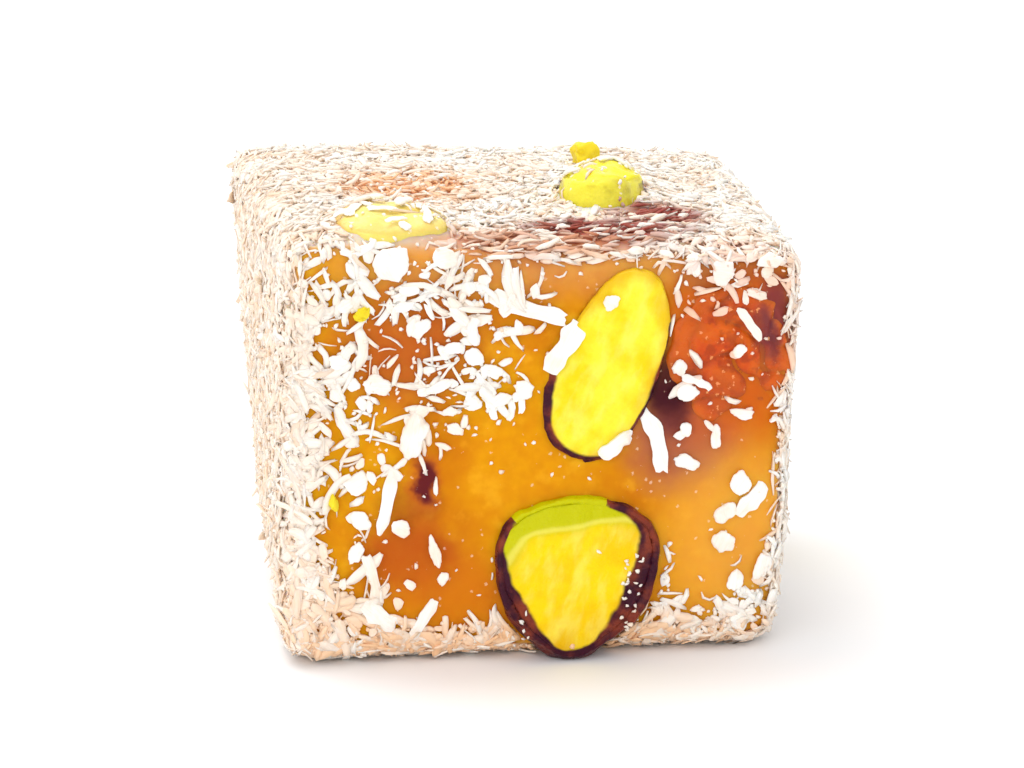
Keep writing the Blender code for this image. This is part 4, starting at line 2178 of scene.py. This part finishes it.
FLAKE_DRIFTS = (
    Drift(UPPER_LEFT, 6.5, 4.0, 9),
    Drift(Mark(-0.25, 0.25), 5.0, 3.0, 7),
    Drift(Mark(-0.75, -0.25), 2.0, 4.0, 3),
    Drift(Mark(0.0, 0.0, FRUIT), 4.0, 5.0, 5),
    Drift(Mark(0.5, 0.0), 3.6, 2.4, 3),
    Drift(LOWER_LEFT, 6.0, 3.0, 3),
    Drift(Mark(0.75, -0.75), 4.0, 2.0, 2),
    Drift(Mark(0.0, 0.0, TOP_FRONT, Side.TOP), 3.6, 3.4, 3, on_nut=True),
    Drift(Mark(-0.5, 0.0), 1.2, 1.2, 1, scale=2.4),
    Drift(Mark(-0.5, 0.75), 6.0, 3.0, 2, scale=1.6),
    Drift(Mark(0.0, 0.5, UPPER), 1.2, 2.0, 1, on_nut=True, scale=1.2),
    Drift(Mark(0.75, 0.75), 4.0, 1.6, 2, scale=1.4),
    Drift(RIGHT_EDGE, 5.0, 5.0, 5, scale=1.35),
)

CRUMB_DRIFTS = (
    Drift(Mark(0.8, -0.25, LOWER), 1.1, 3.8, 34, on_nut=True),
    Drift(Mark(-0.75, -0.75, LOWER), 1.2, 2.0, 8, on_nut=True),
    Drift(Mark(0.0, 0.0, TOP_FRONT, Side.TOP), 4.0, 3.8, 26, on_nut=True),
    Drift(Mark(0.0, 0.0, TOP_REAR, Side.TOP), 3.2, 4.6, 22, on_nut=True),
)

NUT_DRIFTS = (
    Drift(Mark(0.0, 2.0, TOP_REAR, Side.TOP), 0.8, 0.8, 1, scale=2.4),
    Drift(Mark(1.0, 1.0, TOP_REAR, Side.TOP), 0.8, 0.8, 1),
    Drift(Mark(-0.75, 0.5), 2.0, 4.0, 1),
    Drift(Mark(-0.75, -0.25), 2.0, 4.0, 1),
    Drift(Mark(0.5, 0.0, side=Side.BACK), 3.0, 3.0, 1),
)

LEMON = KernelFinish("kernel_lemon")
GOLDEN = KernelFinish(
    "kernel_golden", heart=srgb(246, 214, 6), flesh=srgb(243, 202, 2), rim=srgb(222, 170, 6),
)
PALE = KernelFinish(
    "kernel_pale", heart=srgb(244, 226, 140), flesh=srgb(238, 214, 118), rim=srgb(232, 196, 110),
    outside=srgb(226, 206, 104), dusted=0.5,
)
SPRING = KernelFinish(
    "kernel_spring", heart=srgb(244, 232, 60), flesh=srgb(238, 222, 34), rim=srgb(222, 208, 24),
    outside=srgb(224, 214, 26), dusted=0.2,
)
LOOSE = KernelFinish("kernel_loose", flesh=srgb(238, 216, 20), rim=srgb(232, 206, 40))

KERNELS = {
    "front_upper": (
        LEMON,
        (
            Shoulder(Outside.SKIN, (-0.85, 0.0, -0.55), 1.0, 0.4, 1.5),
            Shoulder(Outside.SKIN, (0.9, 0.0, -0.4), 0.3),
        ),
    ),
    "front_lower": (
        GOLDEN,
        (
            Shoulder(Outside.GREEN, (-0.3, 0.0, 1.0), 2.0, 0.2, 1.0),
            Shoulder(Outside.SKIN, (-0.85, 0.0, -0.5), 0.8, 0.6),
            Shoulder(Outside.SKIN, (0.9, 0.0, -0.3), 1.1, 1.1, 1.4),
            Shoulder(Outside.SKIN, (0.1, 0.0, -1.0), 0.3, 0.8, 4.0),
        ),
    ),
    "top_rear": (SPRING, (Shoulder(Outside.GREEN, (-0.4, -1.0, 0.0), 0.4, spread=0.5),)),
    "top_front": (PALE, (Shoulder(Outside.GREEN, (0.4, -1.0, 0.0), 0.3, spread=0.5),)),
    "right_upper": (SPRING, (Shoulder(Outside.SKIN, (0.0, 0.7, -0.7), 0.5, 0.2),)),
    "right_lower": (GOLDEN, (Shoulder(Outside.GREEN, (0.0, 0.6, 0.8), 1.3),)),
    "back_upper": (LEMON, (Shoulder(Outside.SKIN, (0.7, 0.0, -0.7), 0.5, 0.3),)),
    "back_lower": (
        SPRING,
        (
            Shoulder(Outside.GREEN, (-0.8, 0.0, 0.6), 1.5),
            Shoulder(Outside.SKIN, (0.3, 0.0, -1.0), 0.5, 0.3),
        ),
    ),
}

CHERRIES = {
    "front": {"towards": (-1.0, 0.0, 0.35), "reach": 0.7},
    "right": {},
    "back": {},
}

KERNEL_FORMS = {
    "front_upper": {"peeled": (0.75, 0.0, 0.65)},
    "top_rear": {"rise": 0.45, "dome": 0.8, "ripple": 0.34, "unevenness": 0.6, "green_depth": 2.2},
    "top_front": {
        "rise": 0.5, "dome": 0.3, "ripple": 0.16, "unevenness": 0.6, "green_depth": 1.6, "skin_depth": 1.5,
    },
}


def add_kernels() -> list[Object]:
    """Builds the kernels.

    Returns:
        The finished kernels.
    """
    pieces = []
    for place, (finish, shoulders) in KERNELS.items():
        form = KERNEL_FORMS.get(place, {})
        name = f"pistachio_{place}"
        kernel = Kernel(f"kernel_{place}", Slot.PISTACHIO, finish, (name,), shoulders=shoulders, **form)
        pieces.append(kernel.make())
    return pieces


def add_cherries() -> list[Object]:
    """Builds the cherries.

    Returns:
        The finished cherries.
    """
    finish = CherryFinish(blots=CHERRY_BLOTS)
    return [
        Cherry(f"cherry_{place}_flesh", Slot.CHERRY, finish, (f"cherry_{place}",), **shape).make()
        for place, shape in CHERRIES.items()
    ]


def add_coconut(coat: Coat) -> None:
    """Builds the coat, kind by kind.

    Args:
        coat: how it lies.
    """
    shared = (Slot.COCONUT, CoconutFinish(blots=COAT_BLOTS), (), coat)
    Lumps(
        "pistachio_crumbs", Slot.PISTACHIO, LOOSE, (), coat, count=0, length=(1.0, 1.5), width=(0.8, 1.1),
        thickness=(0.7, 1.0), seed=8, kinds=5, sharp=180, drifts=NUT_DRIFTS,
    ).make()
    Threads(
        "coconut_threads", *shared, count=7000, length=(0.8, 2.8), width=(0.12, 0.26), thickness=(0.12, 0.24),
        seed=5, curl=40, bend=45, twist=0, sharp=180, stray=0.001, on_front=0.45,
    ).make()
    Shreds(
        "coconut_shreds", *shared, count=6900, length=(0.7, 2.9), width=(0.22, 0.48), thickness=(0.12, 0.26),
        seed=1, bend=35, sharp=180, on_front=0.75,
    ).make()
    Shreds(
        "coconut_slivers", *shared, count=5000, length=(1.0, 3.4), width=(0.16, 0.34), thickness=(0.1, 0.2),
        seed=9, bend=50, curl=35, sharp=180, stray=0.001, on_front=0.4, apart=0.1, drifts=SHRED_DRIFTS,
    ).make()
    Ribbons(
        "coconut_ribbons", *shared, count=700, length=(2.0, 4.4), width=(0.4, 0.8), thickness=(0.12, 0.2),
        seed=2, curl=35, bend=45, twist=45, stray=0.001, sharp=180,
    ).make()
    Ribbons(
        "coconut_long_ribbons", *shared, count=0, length=(1.4, 3.0), width=(0.4, 0.7), seed=7, kinds=16,
        curl=15, twist=12, lengthwise=15, crosswise=3, drifts=RIBBON_DRIFTS, apart=0.25,
    ).make()
    Chips(
        "coconut_chips", *shared, count=2700, length=(0.8, 2.1), width=(0.45, 1.1), thickness=(0.12, 0.24),
        seed=3, curl=20, bend=0, twist=10, kinds=16, points=12, sharp=50, on_front=1.3,
    ).make()
    Chips(
        "coconut_flakes", *shared, count=0, length=(1.0, 3.0), width=(0.9, 1.8), thickness=(0.2, 0.32),
        seed=6, curl=10, bend=0, twist=5, kinds=24, points=40, rings=8, sides=7, drifts=FLAKE_DRIFTS,
    ).make()
    Crumbs(
        "coconut_crumbs", *shared, count=9500, length=(0.2, 0.7), width=(0.15, 0.4), thickness=(0.14, 0.34),
        seed=4, curl=0, bend=0, twist=0, on_nuts=0.08, sharp=180, stray=0.05, on_front=1.2,
        drifts=CRUMB_DRIFTS,
    ).make()


def main() -> None:
    """Builds the sweet and its studio, and reports each piece."""
    logging.basicConfig(level=logging.INFO, format="%(name)s: %(message)s")
    block = JellyBlock("jelly_block", Slot.JELLY, JellyFinish(blots=BLOTS), ("jelly",)).make()
    add_coconut(Coat(block, tuple(add_kernels()), tuple(add_cherries()), BEDS))
    Studio().build()


if __name__ == "__main__":
    main()
